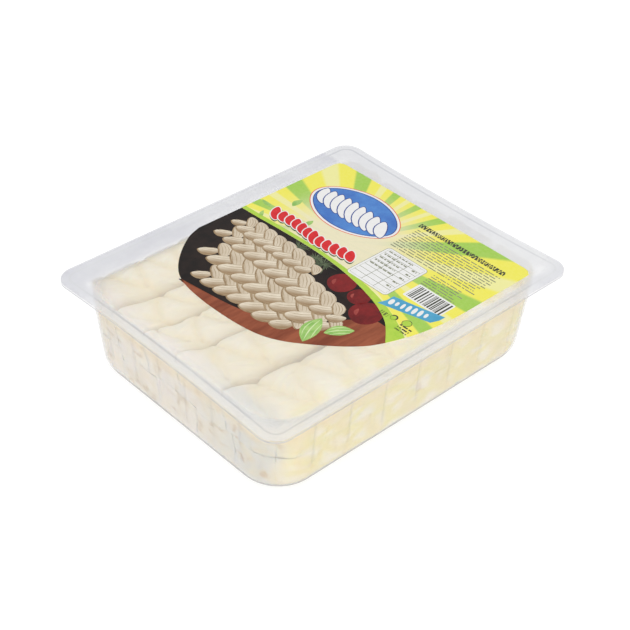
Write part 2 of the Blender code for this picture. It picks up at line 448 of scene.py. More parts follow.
def ribShadeMarks(tree, parts):
    # a narrow mask down the middle of each rib, where a painted grey shade line stands in for the rib's reflection and
    # refraction
    marks = []
    for along, across, wall, (count, pitch, reach) in (("X", "Y", 64.0, tray["ribs"][0]),
                                                       ("Y", "X", 80.0, tray["ribs"][1])):
        shifted = calc(tree, "ADD", parts.outputs[along], 0.0 if count % 2 else pitch / 2 * mm)
        off = calc(tree, "PINGPONG", shifted, pitch / 2 * mm)
        mark = calc(tree, "MULTIPLY", ramp(tree, off, 0.0009, 0.0003),
                    ramp(tree, calc(tree, "ABSOLUTE", parts.outputs[across]), wall * mm, (wall + 2) * mm))
        marks.append(calc(tree, "MULTIPLY", mark, ramp(tree, calc(tree, "ABSOLUTE", parts.outputs[along]),
                                                       (reach + 3) * mm, (reach + 1) * mm)))
    upright = calc(tree, "MULTIPLY", ramp(tree, parts.outputs["Z"], 0.010, 0.015),
                   ramp(tree, parts.outputs["Z"], 0.0455, 0.0430))
    return calc(tree, "MULTIPLY", calc(tree, "MAXIMUM", *marks), upright)


def plasticMaterial(name, look):
    # clear sheet: nearly invisible face on, greyer edge on, hazy along the back and right where it is sealed
    material, tree, shader = setUp(name)
    place = put(tree, "ShaderNodeTexCoord").outputs["Object"]
    waves = placeGroup(tree, filmGroup, place, look["waves"])
    parts = put(tree, "ShaderNodeSeparateXYZ")
    wire(tree, place, parts.inputs[0])
    right = calc(tree, "MULTIPLY", ramp(tree, parts.outputs["X"], *look["rightFrom"]),
                 ramp(tree, parts.outputs["Y"], -0.0765, -0.0600))
    far = calc(tree, "MAXIMUM", ramp(tree, parts.outputs["Y"], *look["backFrom"]), right)
    upper = ramp(tree, parts.outputs["Z"], 0.0474, 0.0484)
    inward = edgeDistance(tree, parts, tray["rimCorner"])
    near = ramp(tree, inward, *look["nearFrom"])
    # the two side corners, which stand clear of the cheese, are as hazy as the back
    slant = calc(tree, "ABSOLUTE", calc(tree, "SUBTRACT", parts.outputs["Y"], parts.outputs["X"]))
    slanted = calc(tree, "MAXIMUM", calc(tree, "MULTIPLY", near, ramp(tree, slant, 0.112, 0.158)),
                   calc(tree, "MULTIPLY", ramp(tree, slant, 0.106, 0.158), 0.6))
    far = calc(tree, "MAXIMUM", far, slanted)
    tint = blendColours(tree, calc(tree, "MULTIPLY", far, upper), look["tint"], look["farTint"])
    tint = blendColours(tree, calc(tree, "MULTIPLY", right, upper), tint, look["rightTint"])
    facing = put(tree, "ShaderNodeLayerWeight", values={"Blend": look["edgeBlend"]}).outputs["Facing"]
    clear = ramp(tree, facing, 0.15, 1.0, look["clear"], look["edge"])
    # a thin painted grey shade line where the foot turns under, standing in for its contact shadow and refraction
    low = ramp(tree, parts.outputs["Z"], 0.0050, 0.0030)
    tint = blendColours(tree, low, tint, look["footShadeTint"])
    foot = calc(tree, "MULTIPLY", ramp(tree, facing, 0.44, 0.70), low)
    clear = calc(tree, "MAXIMUM", clear, calc(tree, "MULTIPLY", foot, look["foot"]))
    # painted grey shade lines down the ribs, standing in for their reflection and refraction
    ribs = ribShadeMarks(tree, parts)
    tint = blendColours(tree, ribs, tint, look["ribShadeTint"])
    clear = calc(tree, "MAXIMUM", clear, calc(tree, "MULTIPLY", ribs, look["rib"]))
    sealed = calc(tree, "MAXIMUM", calc(tree, "MULTIPLY", near, look["nearHaze"]),
                  calc(tree, "MULTIPLY", far, look["farHaze"]))
    sealed = calc(tree, "MAXIMUM", sealed, calc(tree, "MULTIPLY", right, look["rightHaze"]))
    faces = put(tree, "ShaderNodeSeparateXYZ")
    wire(tree, put(tree, "ShaderNodeNewGeometry").outputs["True Normal"], faces.inputs[0])
    upright = ramp(tree, calc(tree, "ABSOLUTE", faces.outputs["Z"]), 0.6, 0.3)
    # painted dark shade lines along the rim's upright outer edge and the flange step, standing in for their edge-on
    # shade
    rim = calc(tree, "MULTIPLY", upright, ramp(tree, inward, 0.0014, 0.0008))
    step = calc(tree, "MULTIPLY", ramp(tree, inward, 0.0034, 0.0039), ramp(tree, inward, 0.0049, 0.0044))
    line = calc(tree, "MAXIMUM", calc(tree, "MULTIPLY", rim, look["rim"]), calc(tree, "MULTIPLY", step, look["step"]))
    sealed = calc(tree, "MULTIPLY", calc(tree, "MAXIMUM", sealed, line), upper)
    tint = blendColours(tree, ramp(tree, line, 0.0, 0.25), tint, look["edgeShadeTint"])
    wire(tree, blendColours(tree, calc(tree, "MULTIPLY", waves.outputs["Haze"], 0.4), tint, look["tint"]),
         shader.inputs["Base Color"])
    cloudy = calc(tree, "MULTIPLY", waves.outputs["Haze"], look["haze"])
    alpha = calc(tree, "ADD", calc(tree, "MAXIMUM", clear, sealed), cloudy, clamp=True)
    wire(tree, alpha, shader.inputs["Alpha"])
    dull = calc(tree, "MULTIPLY", far, 0.4)
    wire(tree, calc(tree, "ADD", ramp(tree, waves.outputs["Haze"], 0.0, 1.0, look["gloss"], look["gloss"] + 0.08), dull),
         shader.inputs["Roughness"])
    wire(tree, ramp(tree, far, 0.0, 1.0, 0.5, 0.15), shader.inputs["Specular IOR Level"])
    roughen(tree, shader, waves.outputs["Height"], look["bump"], 0.0006)
    shader.inputs["IOR"].default_value = 1.5
    return material


trayLook = {"waves": 60.0, "edgeBlend": 0.35, "clear": 0.08, "edge": 0.40, "tint": (0.78, 0.775, 0.765), "foot": 0.85, "footShadeTint": (0.30, 0.30, 0.31), "rib": 0.19, "ribShadeTint": (0.60, 0.60, 0.63),
            "farTint": (0.58, 0.585, 0.63), "rightTint": (0.66, 0.67, 0.72), "backFrom": (0.0660, 0.0680), "rightFrom": (0.0850, 0.0870),
            "nearFrom": (0.0085, 0.0070), "nearHaze": 0.08, "farHaze": 0.24, "rightHaze": 0.2, "rim": 0.85, "step": 0.0,
            "edgeShadeTint": (0.40, 0.41, 0.44), "haze": 0.03,
            "gloss": 0.16, "bump": 0.10}
filmLook = {"waves": 28.0, "edgeBlend": 0.35, "clear": 0.05, "edge": 0.3, "tint": (0.865, 0.87, 0.86), "foot": 0.0, "footShadeTint": (0.42, 0.42, 0.43), "rib": 0.0, "ribShadeTint": (0.6, 0.6, 0.6),
            "farTint": (0.605, 0.61, 0.66), "rightTint": (0.735, 0.74, 0.76), "backFrom": (0.0560, 0.0650), "rightFrom": (0.0755, 0.0790),
            "nearFrom": (0.0145, 0.0070), "nearHaze": 0.26, "farHaze": 0.55, "rightHaze": 0.66, "rim": 0.3, "step": 0.30,
            "edgeShadeTint": (0.58, 0.59, 0.62), "haze": 0.03,
            "gloss": 0.14, "bump": 0.14}


def makeTray():
    stopSets = [sideStops(*row) for row in tray["ribs"]]
    rows = list(trayRows())
    rings = [outlineAt(inset, corner, bow, height, stopSets, ribs)
             for inset, height, corner, bow, ribs in rows]
    piece = ringStart("trayShell", rings[0])
    bpy.ops.object.mode_set(mode="EDIT")
    bpy.ops.mesh.select_all(action="SELECT")
    for ring in rings[1:]:
        pullRing(piece, ring)
    bpy.ops.mesh.edge_face_add()  # the flat floor
    bpy.ops.mesh.select_all(action="SELECT")
    bpy.ops.mesh.normals_make_consistent(inside=False)
    bpy.ops.object.mode_set(mode="OBJECT")
    if max(piece.data.polygons, key=lambda face: face.area).normal.z < 0:
        piece.data.flip_normals()  # the open shell faces up and inward before it gets its wall
    shell = piece.modifiers.new("wall", "SOLIDIFY")
    shell.thickness = tray["sheet"] * mm
    shell.offset = -1.0
    shell.use_even_offset = True
    soften = piece.modifiers.new("soften", "BEVEL")
    soften.width = 0.12 * mm
    soften.segments = 2
    soften.limit_method = "ANGLE"
    soften.angle_limit = math.radians(50)
    applyAll(piece)
    finishPiece(piece, plasticMaterial("trayPlastic", trayLook), 40)
    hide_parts("tray")
    print("tray:", len(piece.data.polygons), "faces")


makeTray()

# ---------- film lid

film = {"low": 49.3, "thick": 0.06}


def makeFilm():
    stopSets = [sideStops(*row) for row in tray["ribs"]]
    outline = outlineAt(0.0, tray["rimCorner"], tray["shortSideBow"], film["low"], stopSets)
    piece = ringStart("lidFilm", outline)
    bpy.ops.object.mode_set(mode="EDIT")
    bpy.ops.mesh.select_all(action="SELECT")
    bpy.ops.mesh.edge_face_add()
    bpy.ops.mesh.extrude_region_move(TRANSFORM_OT_translate={"value": (0.0, 0.0, film["thick"] * mm)})
    bpy.ops.mesh.select_all(action="SELECT")
    bpy.ops.mesh.normals_make_consistent(inside=False)
    bpy.ops.object.mode_set(mode="OBJECT")
    finishPiece(piece, plasticMaterial("lidPlastic", filmLook), 40)
    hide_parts("lid_film")
    print("film:", len(piece.data.polygons), "faces")


makeFilm()

# ---------- plaited cheese

plait = {
    "split": 24.0, "clear": 0.22, "between": -0.4, "endGap": -0.8, "pitch": 66.0, "pathStep": 1.3,
    "strandWide": 0.60, "strandTall": 0.64, "crown": 0.945, "crownSquare": 4.1, "packed": 1.01, "packedSquare": 12.0,
    "endFill": 12.0, "coreCuts": 24, "creaseWidth": 0.32, "creaseShadeWidth": 0.50, "creaseDepth": 0.75, "pitWidth": 0.24, "pitDepth": 0.6,
    "fibreDepth": 0.45, "lumpDepth": 0.5, "press": 0.6, "sag": 2.6, "wander": 2.2, "holeDepth": 0.5,
    "corner": 4.6,
    "endTaper": ((0.0, 0.86), (0.8, 0.95), (2.2, 1.0)), "smoothing": {"low": 3, "top": 10},
}
topBraids = (
    # piece, node, width, height, middle, phase, pitch factor
    ("braidTop1", "braid_top_1", 32.5, 24.0, 36.5, 0.3, 1.00),
    ("braidTop2", "braid_top_2", 31.0, 24.5, 36.6, 2.4, 1.06),
    ("braidTop3", "braid_top_3", 23.5, 23.0, 35.6, 1.2, 0.94),
    ("braidTop4", "braid_top_4", 22.5, 22.5, 35.4, 3.9, 1.03),
    ("braidTop5", "braid_top_5", 28.0, 24.5, 36.6, 5.0, 0.97),
)
lowBraids = (
    ("braidLow1", "braid_low_1", 27.5, 23.4, 12.4, 1.7, 0.96),
    ("braidLow2", "braid_low_2", 26.0, 23.0, 12.3, 4.4, 1.04),
    ("braidLow3", "braid_low_3", 27.5, 23.4, 12.4, 0.6, 1.00),
    ("braidLow4", "braid_low_4", 26.5, 23.2, 12.3, 3.1, 0.95),
    ("braidLow5", "braid_low_5", 26.5, 23.4, 12.4, 5.6, 1.05),
)
lattice = np.random.default_rng(11).random((64, 64))


def softNoise(u, v):
    # smooth value noise, between -1 and 1
    u, v = np.broadcast_arrays(np.asarray(u, dtype=float), np.asarray(v, dtype=float))
    cellU, cellV = np.floor(u).astype(int), np.floor(v).astype(int)
    shareU, shareV = u - cellU, v - cellV
    shareU, shareV = shareU ** 2 * (3 - 2 * shareU), shareV ** 2 * (3 - 2 * shareV)
    corners = [lattice[(cellU + i) % 64, (cellV + j) % 64] for i in (0, 1) for j in (0, 1)]
    low = corners[0] + (corners[1] - corners[0]) * shareV
    high = corners[2] + (corners[3] - corners[2]) * shareV
    return 2 * (low + (high - low) * shareU) - 1


def softLimit(value, low, high, press):
    over = value - (high - press)
    value = np.where(over > 0, high - press + press * np.tanh(over / press), value)
    under = (low + press) - value
    return np.where(under > 0, low + press - press * np.tanh(under / press), value)


def insideTray(places):
    # press the cheese flat where it meets the tray's walls
    height = places[:, 2]
    inset = wallInset(height) + plait["clear"]
    corner = wallCorner(height)
    coreX = tray["length"] / 2 - inset - corner
    coreY = tray["width"] / 2 - inset - corner
    outX = np.maximum(np.abs(places[:, 0]) - coreX, 0.0)
    outY = np.maximum(np.abs(places[:, 1]) - coreY, 0.0)
    far = np.hypot(outX, outY)
    press = plait["press"]
    over = far - (corner - press)
    kept = np.where(over > 0, corner - press + press * np.tanh(over / press), far)
    shrink = np.where(far > 0, kept / np.maximum(far, 1e-9), 1.0)
    places[:, 0] = np.where(outX > 0, np.sign(places[:, 0]) * (coreX + outX * shrink), places[:, 0])
    places[:, 1] = np.where(outY > 0, np.sign(places[:, 1]) * (coreY + outY * shrink), places[:, 1])


def settle(places):
    # one gentle field moves all the braids together, so that they lie unevenly and still fit each other
    x, y, z = places[:, 0], places[:, 1], places[:, 2]
    endward = 0.45 + 0.55 * np.clip((-x - 55) / 20, 0, 1)
    upDown = np.clip(np.minimum(z - 2.0, 43.0 - z) / 9, 0, 1)
    shift = softNoise(x / 23 + 3.1, y / 15 + 7.7) + 0.5 * softNoise(x / 11 + 9.4, y / 7.5 + 1.3)
    places[:, 2] = z + plait["sag"] * upDown * endward * shift
    sideways = np.clip((62.0 - np.abs(y)) / 9, 0, 1) * endward
    shift = softNoise(x / 27 + 5.2, places[:, 2] / 11 + 2.6) + 0.5 * softNoise(x / 12 + 1.9, places[:, 2] / 6 + 8.8)
    places[:, 1] = y + plait["wander"] * sideways * shift


def fillCorners(places, low, high, strength):
    # push rounded edges out into the corners of their box, where the cheese is packed tight
    middle, half = (np.array(low) + high) / 2, (np.array(high) - low) / 2
    off = places - middle
    over = np.maximum(np.abs(off) - (half - plait["corner"]), 0.0)
    reach, most = np.linalg.norm(over, axis=1), over.max(axis=1)
    factor = 1 + (1.25 * reach / np.maximum(most, 1e-9) - 1) * strength
    grown = np.minimum(over * factor[:, None], plait["corner"])
    return middle + np.where(over > 0, np.sign(off) * (half - plait["corner"] + grown), off)


def strandMiddles(row, distance):
    # where the three strands run at a distance along the braid, and their half sizes
    _, _, width, tall, _, phase, pitchFactor = row
    seed = phase * 7.3
    distance = np.asarray(distance, dtype=float)
    halfWidth = width / 2 * (1 + 0.025 * softNoise(distance / 24 + seed, 5.0))
    halfTall = tall / 2 * (1 + 0.025 * softNoise(distance / 19 + seed, 9.0))
    turn = phase + 2 * math.pi * distance / (plait["pitch"] * pitchFactor)
    turn = turn + 0.3 * softNoise(distance / 31 + seed, seed)
    wide, tallNow = halfWidth * plait["strandWide"], halfTall * plait["strandTall"]
    middles = []
    for k in range(3):
        own = turn + 2 * math.pi * k / 3
        drift = 0.6 * softNoise(distance / 14 + seed + 9 * k, 3.0 + k)
        middles.append(((halfWidth - wide) * np.sin(own) + drift, (halfTall - tallNow) * np.sin(2 * own)))
    return middles, wide, tallNow


def makeStrand(row, start, length, sideMiddle, k):
    # a round curve along one strand's path, squashed to its oval and made a mesh
    _, _, width, tall, middle, phase, _ = row
    wide, tallNow = width / 2 * plait["strandWide"], tall / 2 * plait["strandTall"]
    squash = wide / tallNow
    trim = 0.9 * (0.5 + 0.5 * math.sin(phase * 5 + 2.1 * k))
    distances = np.linspace(trim, length - trim, round(length / plait["pathStep"]))
    middles, _, _ = strandMiddles(row, distances)
    midY, midZ = middles[k]
    curve = bpy.data.curves.new("strand", "CURVE")
    curve.dimensions = "3D"
    curve.bevel_depth = tallNow * mm
    curve.bevel_resolution = 4
    curve.use_fill_caps = True
    spline = curve.splines.new("POLY")
    spline.points.add(len(distances) - 1)
    ends = np.minimum(distances - trim, length - trim - distances)
    girth = np.interp(ends, *zip(*plait["endTaper"]))
    for point, far, y, z, size in zip(spline.points, distances, midY, midZ, girth):
        point.co = ((start + far) * mm, (sideMiddle + y) / squash * mm, (middle + z) * mm, 1.0)
        point.radius = size
    strand = bpy.data.objects.new("strand", curve)
    bpy.context.scene.collection.objects.link(strand)
    strand.scale.y = squash
    pickOnly(strand)
    bpy.ops.object.convert(target="MESH")
    bpy.ops.object.transform_apply(location=True, rotation=True, scale=True)
    return strand


def makeCore(row, start, length, sideMiddle):
    # the middle that the strands are wrapped round: crowned on top, square where it is pressed
    pickNothing()
    bpy.ops.mesh.primitive_cylinder_add(vertices=48, radius=1.0, depth=1.0, rotation=(0, math.pi / 2, 0))
    core = nameNew("core")
    bpy.ops.object.transform_apply(location=True, rotation=True, scale=True)
    bpy.ops.object.mode_set(mode="EDIT")
    bpy.ops.mesh.select_mode(type="EDGE")
    bpy.ops.mesh.select_all(action="DESELECT")
    mesh = bmesh.from_edit_mesh(core.data)
    for edge in mesh.edges:
        edge.select_set(abs(edge.verts[0].co.x - edge.verts[1].co.x) > 0.5)
    bmesh.update_edit_mesh(core.data)
    bpy.ops.mesh.subdivide(number_cuts=plait["coreCuts"])
    bpy.ops.mesh.select_mode(type="VERT")
    bpy.ops.object.mode_set(mode="OBJECT")
    flat = readPlaces(core)
    along = (flat[:, 0] + 0.5) * (length - 1.6) + 0.8
    angle = np.arctan2(flat[:, 2], flat[:, 1])
    crown = np.clip((np.sin(angle) + 0.2) / 0.5, 0, 1) if row[4] > plait["split"] else np.zeros(len(angle))
    crown = crown * np.clip(np.minimum(along, length - along) / plait["endFill"], 0, 1)
    power = plait["packedSquare"] + (plait["crownSquare"] - plait["packedSquare"]) * crown
    size = plait["packed"] + (plait["crown"] - plait["packed"]) * crown
    reach = size * (np.abs(np.cos(angle)) ** power + np.abs(np.sin(angle)) ** power) ** (-1 / power)
    writePlaces(core, np.column_stack([
        start + along, sideMiddle + reach * np.cos(angle) * row[2] / 2, row[4] + reach * np.sin(angle) * row[3] / 2,
    ]))
    return core


def cheeseMaterial():
    material, tree, shader = setUp("stringCheese")
    uv = put(tree, "ShaderNodeUVMap", {"uv_map": "strandWay"}).outputs[0]
    place = put(tree, "ShaderNodeTexCoord").outputs["Object"]
    crease = put(tree, "ShaderNodeAttribute", {"attribute_name": "crease"}).outputs["Fac"]
    pit = put(tree, "ShaderNodeAttribute", {"attribute_name": "pit"}).outputs["Fac"]
    fibres = placeGroup(tree, fibreGroup, uv, 9.0)
    patch = put(tree, "ShaderNodeTexNoise", values={"Scale": 55.0, "Detail": 3.0, "Roughness": 0.55})
    wire(tree, place, patch.inputs["Vector"])
    body = blendColours(tree, ramp(tree, patch.outputs["Fac"], 0.32, 0.68), cheese["cream"], cheese["pale"])
    body = blendColours(tree, calc(tree, "MULTIPLY", fibres.outputs["Shade"], 0.38), body, cheese["milk"])
    # pinkish-white cut ends, yellower along the front side from painted shade between its lobes
    parts = put(tree, "ShaderNodeSeparateXYZ")
    wire(tree, place, parts.inputs[0])
    ends = ramp(tree, parts.outputs["X"], -0.074, -0.083)
    body = blendColours(tree, calc(tree, "MULTIPLY", ends, 0.85), body, cheese["cutEnd"])
    # painted shade: the cut ends grow darker towards the front corner
    corner = calc(tree, "MULTIPLY", ends, ramp(tree, parts.outputs["Y"], 0.000, -0.055))
    body = blendColours(tree, corner, body, cheese["cornerShadeEnd"])
    # painted shade of pressed folds on the cut ends, with a few small painted tan shade notches on them
    folds = put(tree, "ShaderNodeTexVoronoi", {"feature": "DISTANCE_TO_EDGE"}, {"Scale": 1.0, "Randomness": 1.0})
    bent = put(tree, "ShaderNodeTexNoise", values={"Scale": 120.0, "Detail": 3.0, "Roughness": 0.6})
    wire(tree, place, bent.inputs["Vector"])
    swayed = put(tree, "ShaderNodeVectorMath", {"operation": "MULTIPLY_ADD"})
    wire(tree, bent.outputs["Color"], swayed.inputs[0])
    swayed.inputs[1].default_value = (0.012, 0.012, 0.012)
    wire(tree, place, swayed.inputs[2])
    squeeze = put(tree, "ShaderNodeMapping")
    squeeze.inputs["Scale"].default_value = (30.0, 52.0, 105.0)
    wire(tree, swayed.outputs[0], squeeze.inputs["Vector"])
    wire(tree, squeeze.outputs[0], folds.inputs["Vector"])
    thin = put(tree, "ShaderNodeTexNoise", values={"Scale": 150.0, "Detail": 2.0})
    wire(tree, place, thin.inputs["Vector"])
    outward = ramp(tree, parts.outputs["Z"], 0.0440, 0.0400)
    outward = calc(tree, "MULTIPLY", ends, outward)
    fold = calc(tree, "MULTIPLY", ramp(tree, folds.outputs["Distance"], 0.17, 0.01), outward)
    foldShadeMask = calc(tree, "MULTIPLY", fold, ramp(tree, thin.outputs["Fac"], 0.38, 0.58))
    body = blendColours(tree, calc(tree, "MULTIPLY", foldShadeMask, 0.55), body, cheese["foldShade"])
    notchShadeMask = calc(tree, "MULTIPLY", fold, ramp(tree, thin.outputs["Fac"], 0.57, 0.66))
    body = blendColours(tree, calc(tree, "MULTIPLY", notchShadeMask, 0.7), body, cheese["foldNotchShade"])
    # white lobes along the front side, with soft painted yellow shade between them
    front = calc(tree, "MULTIPLY", ramp(tree, parts.outputs["Y"], -0.058, -0.066),
                 ramp(tree, parts.outputs["X"], -0.084, -0.066))
    lobes = put(tree, "ShaderNodeTexVoronoi", {"feature": "DISTANCE_TO_EDGE"}, {"Scale": 1.0, "Randomness": 0.85})
    tilt = put(tree, "ShaderNodeMapping")
    tilt.inputs["Rotation"].default_value = (0.0, math.radians(32), 0.0)
    tilt.inputs["Scale"].default_value = (62.0, 25.0, 115.0)
    wobble = put(tree, "ShaderNodeTexNoise", values={"Scale": 90.0, "Detail": 2.0})
    wire(tree, place, wobble.inputs["Vector"])
    moved = put(tree, "ShaderNodeVectorMath", {"operation": "MULTIPLY_ADD"})
    wire(tree, wobble.outputs["Color"], moved.inputs[0])
    moved.inputs[1].default_value = (0.009, 0.009, 0.009)
    wire(tree, place, moved.inputs[2])
    wire(tree, moved.outputs[0], tilt.inputs["Vector"])
    wire(tree, tilt.outputs[0], lobes.inputs["Vector"])
    between = ramp(tree, lobes.outputs["Distance"], 0.36, 0.04)
    body = blendColours(tree, calc(tree, "MULTIPLY", front, 0.4), body, cheese["milk"])
    body = blendColours(tree, calc(tree, "MULTIPLY", calc(tree, "MULTIPLY", front, between), 0.9), body,
                        cheese["frontLobeShade"])
    # painted warm shade in the valleys between the top braids, painted brown shade in the pits where three strands meet
    valleyShadeMask = calc(tree, "MULTIPLY", ramp(tree, parts.outputs["Z"], 0.0462, 0.0400),
                  ramp(tree, parts.outputs["Z"], 0.0300, 0.0360))
    body = blendColours(tree, calc(tree, "MULTIPLY", valleyShadeMask, cheese["valleyShadeShare"]), body, cheese["valleyShade"])
    # painted yellow shade in the creases between strands, weaker on the cut ends
    creaseShadeWeight = ramp(tree, ends, 0.0, 1.0, cheese["creaseShadeShare"], 0.2)
    body = blendColours(tree, calc(tree, "MULTIPLY", crease, creaseShadeWeight), body, cheese["yellow"])
    spots = put(tree, "ShaderNodeTexNoise", values={"Scale": 90.0, "Detail": 1.0})
    wire(tree, place, spots.inputs["Vector"])
    # painted brown shade in the pits and holes
    pitShade = calc(tree, "MULTIPLY", ramp(tree, spots.outputs["Fac"], 0.5, 0.62), ramp(tree, pit, 0.55, 0.95))
    body = blendColours(tree, calc(tree, "MULTIPLY", pitShade, 0.36), body, cheese["pitShade"])
    wire(tree, body, shader.inputs["Base Color"])
    wire(tree, ramp(tree, fibres.outputs["Shade"], 0.0, 1.0, 0.52, 0.40), shader.inputs["Roughness"])
    roughen(tree, shader, fibres.outputs["Height"], 0.55, 0.0006)
    shader.inputs["Subsurface Weight"].default_value = 0.55
    shader.inputs["Subsurface Radius"].default_value = (1.0, 0.72, 0.40)
    shader.inputs["Subsurface Scale"].default_value = 0.004
    shader.inputs["Specular IOR Level"].default_value = 0.4
    return material


cheese = {
    "cream": (0.785, 0.705, 0.505), "pale": (0.815, 0.75, 0.59), "milk": (0.84, 0.785, 0.655),
    "cutEnd": (0.785, 0.72, 0.65), "frontLobeShade": (0.785, 0.695, 0.30), "valleyShade": (0.82, 0.67, 0.42),
    "yellow": (0.79, 0.665, 0.38), "creaseShadeShare": 0.62, "valleyShadeShare": 0.65, "pitShade": (0.52, 0.36, 0.20),
    "cornerShadeEnd": (0.655, 0.64, 0.575), "foldShade": (0.70, 0.60, 0.45), "foldNotchShade": (0.52, 0.37, 0.23),
}


def pressAndPull(piece, row, start, sideLow, low, high):
    # pull fibres and creases into the skin, press it into its place, and note the strand's own way
    mesh = piece.data
    places = readPlaces(piece) / mm
    normals = np.empty(len(places) * 3)
    mesh.vertex_normals.foreach_get("vector", normals)
    normals = normals.reshape(-1, 3)
    seed = row[5] * 7.3
    distance = places[:, 0] - start
    sideMiddle = sideLow + row[2] / 2
    middles, wide, tallNow = strandMiddles(row, distance)
    offs = [((places[:, 1] - sideMiddle - y) / wide, (places[:, 2] - row[4] - z) / tallNow) for y, z in middles]
    nears = np.array([np.hypot(y, z) for y, z in offs])
    order = np.argsort(nears, axis=0)
    index = np.arange(len(places))
    first = order[0]
    gap = nears[order[1], index] - nears[order[0], index]
    crease = np.exp(-(gap / plait["creaseWidth"]) ** 2)
    pit = np.exp(-((nears[order[2], index] - nears[order[0], index]) / plait["pitWidth"]) ** 2)
    offY = np.array([pair[0] for pair in offs])[first, index]
    offZ = np.array([pair[1] for pair in offs])[first, index]
    ringWay = np.arctan2(offZ, offY) * (wide + tallNow) / 2
    fibre = softNoise(distance / 16 + first * 13 + seed, ringWay / 1.9 + first * 9)
    fibre = fibre + 0.5 * softNoise(distance / 8 + first * 5 + seed, ringWay / 1.0 + first * 3)
    lump = softNoise(places[:, 0] / 7 + seed, places[:, 1] / 7) + softNoise(places[:, 0] / 9, places[:, 2] / 6 + seed)
    upward = np.clip(normals[:, 2] * 1.6, 0, 1) if row[4] > plait["split"] else np.zeros(len(places))
    fold = 0.45 + 0.55 * upward
    # small holes where the cut ends and the front side are pressed against the wall
    outer = np.maximum(np.clip((-places[:, 0] - 78) / 4, 0, 1), np.clip((-places[:, 1] - 61) / 4, 0, 1))
    hole = softNoise(places[:, 0] / 5.1 + places[:, 1] / 5.6 + seed, places[:, 2] / 3.9 + seed)
    hole = outer * (1 - upward) * np.clip((hole - 0.56) / 0.3, 0, 1)
    snug = softNoise(places[:, 0] / 6 + places[:, 1] / 6 + 2.2, places[:, 2] / 6 + 4.4)
    packed = np.clip(np.maximum(np.abs(places[:, 0]) - 74, np.abs(places[:, 1]) - 55) / 4, 0, 1)
    packed = packed * np.clip((44 - places[:, 2]) / 4, 0, 1) * np.clip(2.4 + 1.0 * snug, 0, 1)
    dent = fold * (plait["creaseDepth"] * crease + plait["pitDepth"] * pit) \
        + plait["fibreDepth"] * (0.5 - 0.5 * fibre) - plait["lumpDepth"] * lump / 2 * upward
    places = places - normals * dent[:, None]
    places[:, 2] = softLimit(places[:, 2], low, high, plait["press"])
    places[:, 1] = softLimit(places[:, 1], sideLow + plait["between"] / 2,
                             sideLow + row[2] - plait["between"] / 2, plait["press"])
    places = fillCorners(places, (start + 0.8, sideLow + plait["between"] / 2, low),
                         (-start - 0.8, sideLow + row[2] - plait["between"] / 2, high), packed)
    settle(places)
    insideTray(places)
    places = places - normals * (plait["holeDepth"] * hole)[:, None]
    pit = np.maximum(pit * upward, hole)
    writePlaces(piece, places)
    # masks for the painted shade in the creases and the pits
    creaseShadeMask = np.exp(-(gap / plait["creaseShadeWidth"]) ** 2)
    for label, mask in (("crease", creaseShadeMask), ("pit", pit)):
        mesh.attributes.new(label, "FLOAT", "POINT").data.foreach_set("value", mask.astype(np.float32))

    corners = np.empty(len(mesh.loops), dtype=int)
    mesh.loops.foreach_get("vertex_index", corners)
    starts = np.empty(len(mesh.polygons), dtype=int)
    mesh.polygons.foreach_get("loop_start", starts)
    faceOf = np.repeat(np.arange(len(starts)), np.diff(np.append(starts, len(corners))))
    strandOf = first[corners[starts]][faceOf]
    offY = np.array([pair[0] for pair in offs])[strandOf, corners]
    offZ = np.array([pair[1] for pair in offs])[strandOf, corners]
    size = (plait["strandWide"] * row[2] + plait["strandTall"] * row[3]) / 4
    ring = np.arctan2(offZ, offY)
    base = ring[starts][faceOf]
    ring = base + (ring - base + math.pi) % (2 * math.pi) - math.pi  # no jump inside a face
    ways = np.column_stack([distance[corners], ring * size + 40.0 * strandOf])
    layer = mesh.uv_layers.new(name="strandWay")
    layer.data.foreach_set("uv", (ways / 10).ravel())


def makeBraid(row, sideLow, low, high, voxel, material):
    sideMiddle = sideLow + row[2] / 2
    start = -tray["length"] / 2 + float(wallInset(row[4])) + plait["endGap"]
    length = -2 * start
    parts = [makeStrand(row, start, length, sideMiddle, k) for k in range(3)]
    parts.append(makeCore(row, start, length, sideMiddle))
    piece = joinInto(row[0], parts)
    for layer in list(piece.data.uv_layers):
        piece.data.uv_layers.remove(layer)
    skin = piece.modifiers.new("skin", "REMESH")
    skin.mode = "VOXEL"
    skin.voxel_size = voxel * mm
    soften = piece.modifiers.new("soften", "SMOOTH")
    soften.factor = 0.5
    soften.iterations = plait["smoothing"]["top" if row[4] > plait["split"] else "low"]
    applyAll(piece)
    pressAndPull(piece, row, start, sideLow, low, high)
    finishPiece(piece, material, 180)
    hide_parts(row[1])
    print(row[0], len(piece.data.polygons), "faces")


def makeLayer(layer, low, high, voxel, material):
    sideLow = -sum(row[2] for row in layer) / 2
    for row in layer:
        makeBraid(row, sideLow, low, high, voxel, material)
        sideLow += row[2]


cheeseFinish = cheeseMaterial()
makeLayer(lowBraids, tray["sheet"] + plait["clear"], plait["split"] - plait["between"] / 2, 0.8, cheeseFinish)
makeLayer(topBraids, plait["split"] + plait["between"] / 2, tray["depth"] - plait["clear"], 0.62, cheeseFinish)

# ---------- printed label, laid on the film in thin flat pieces

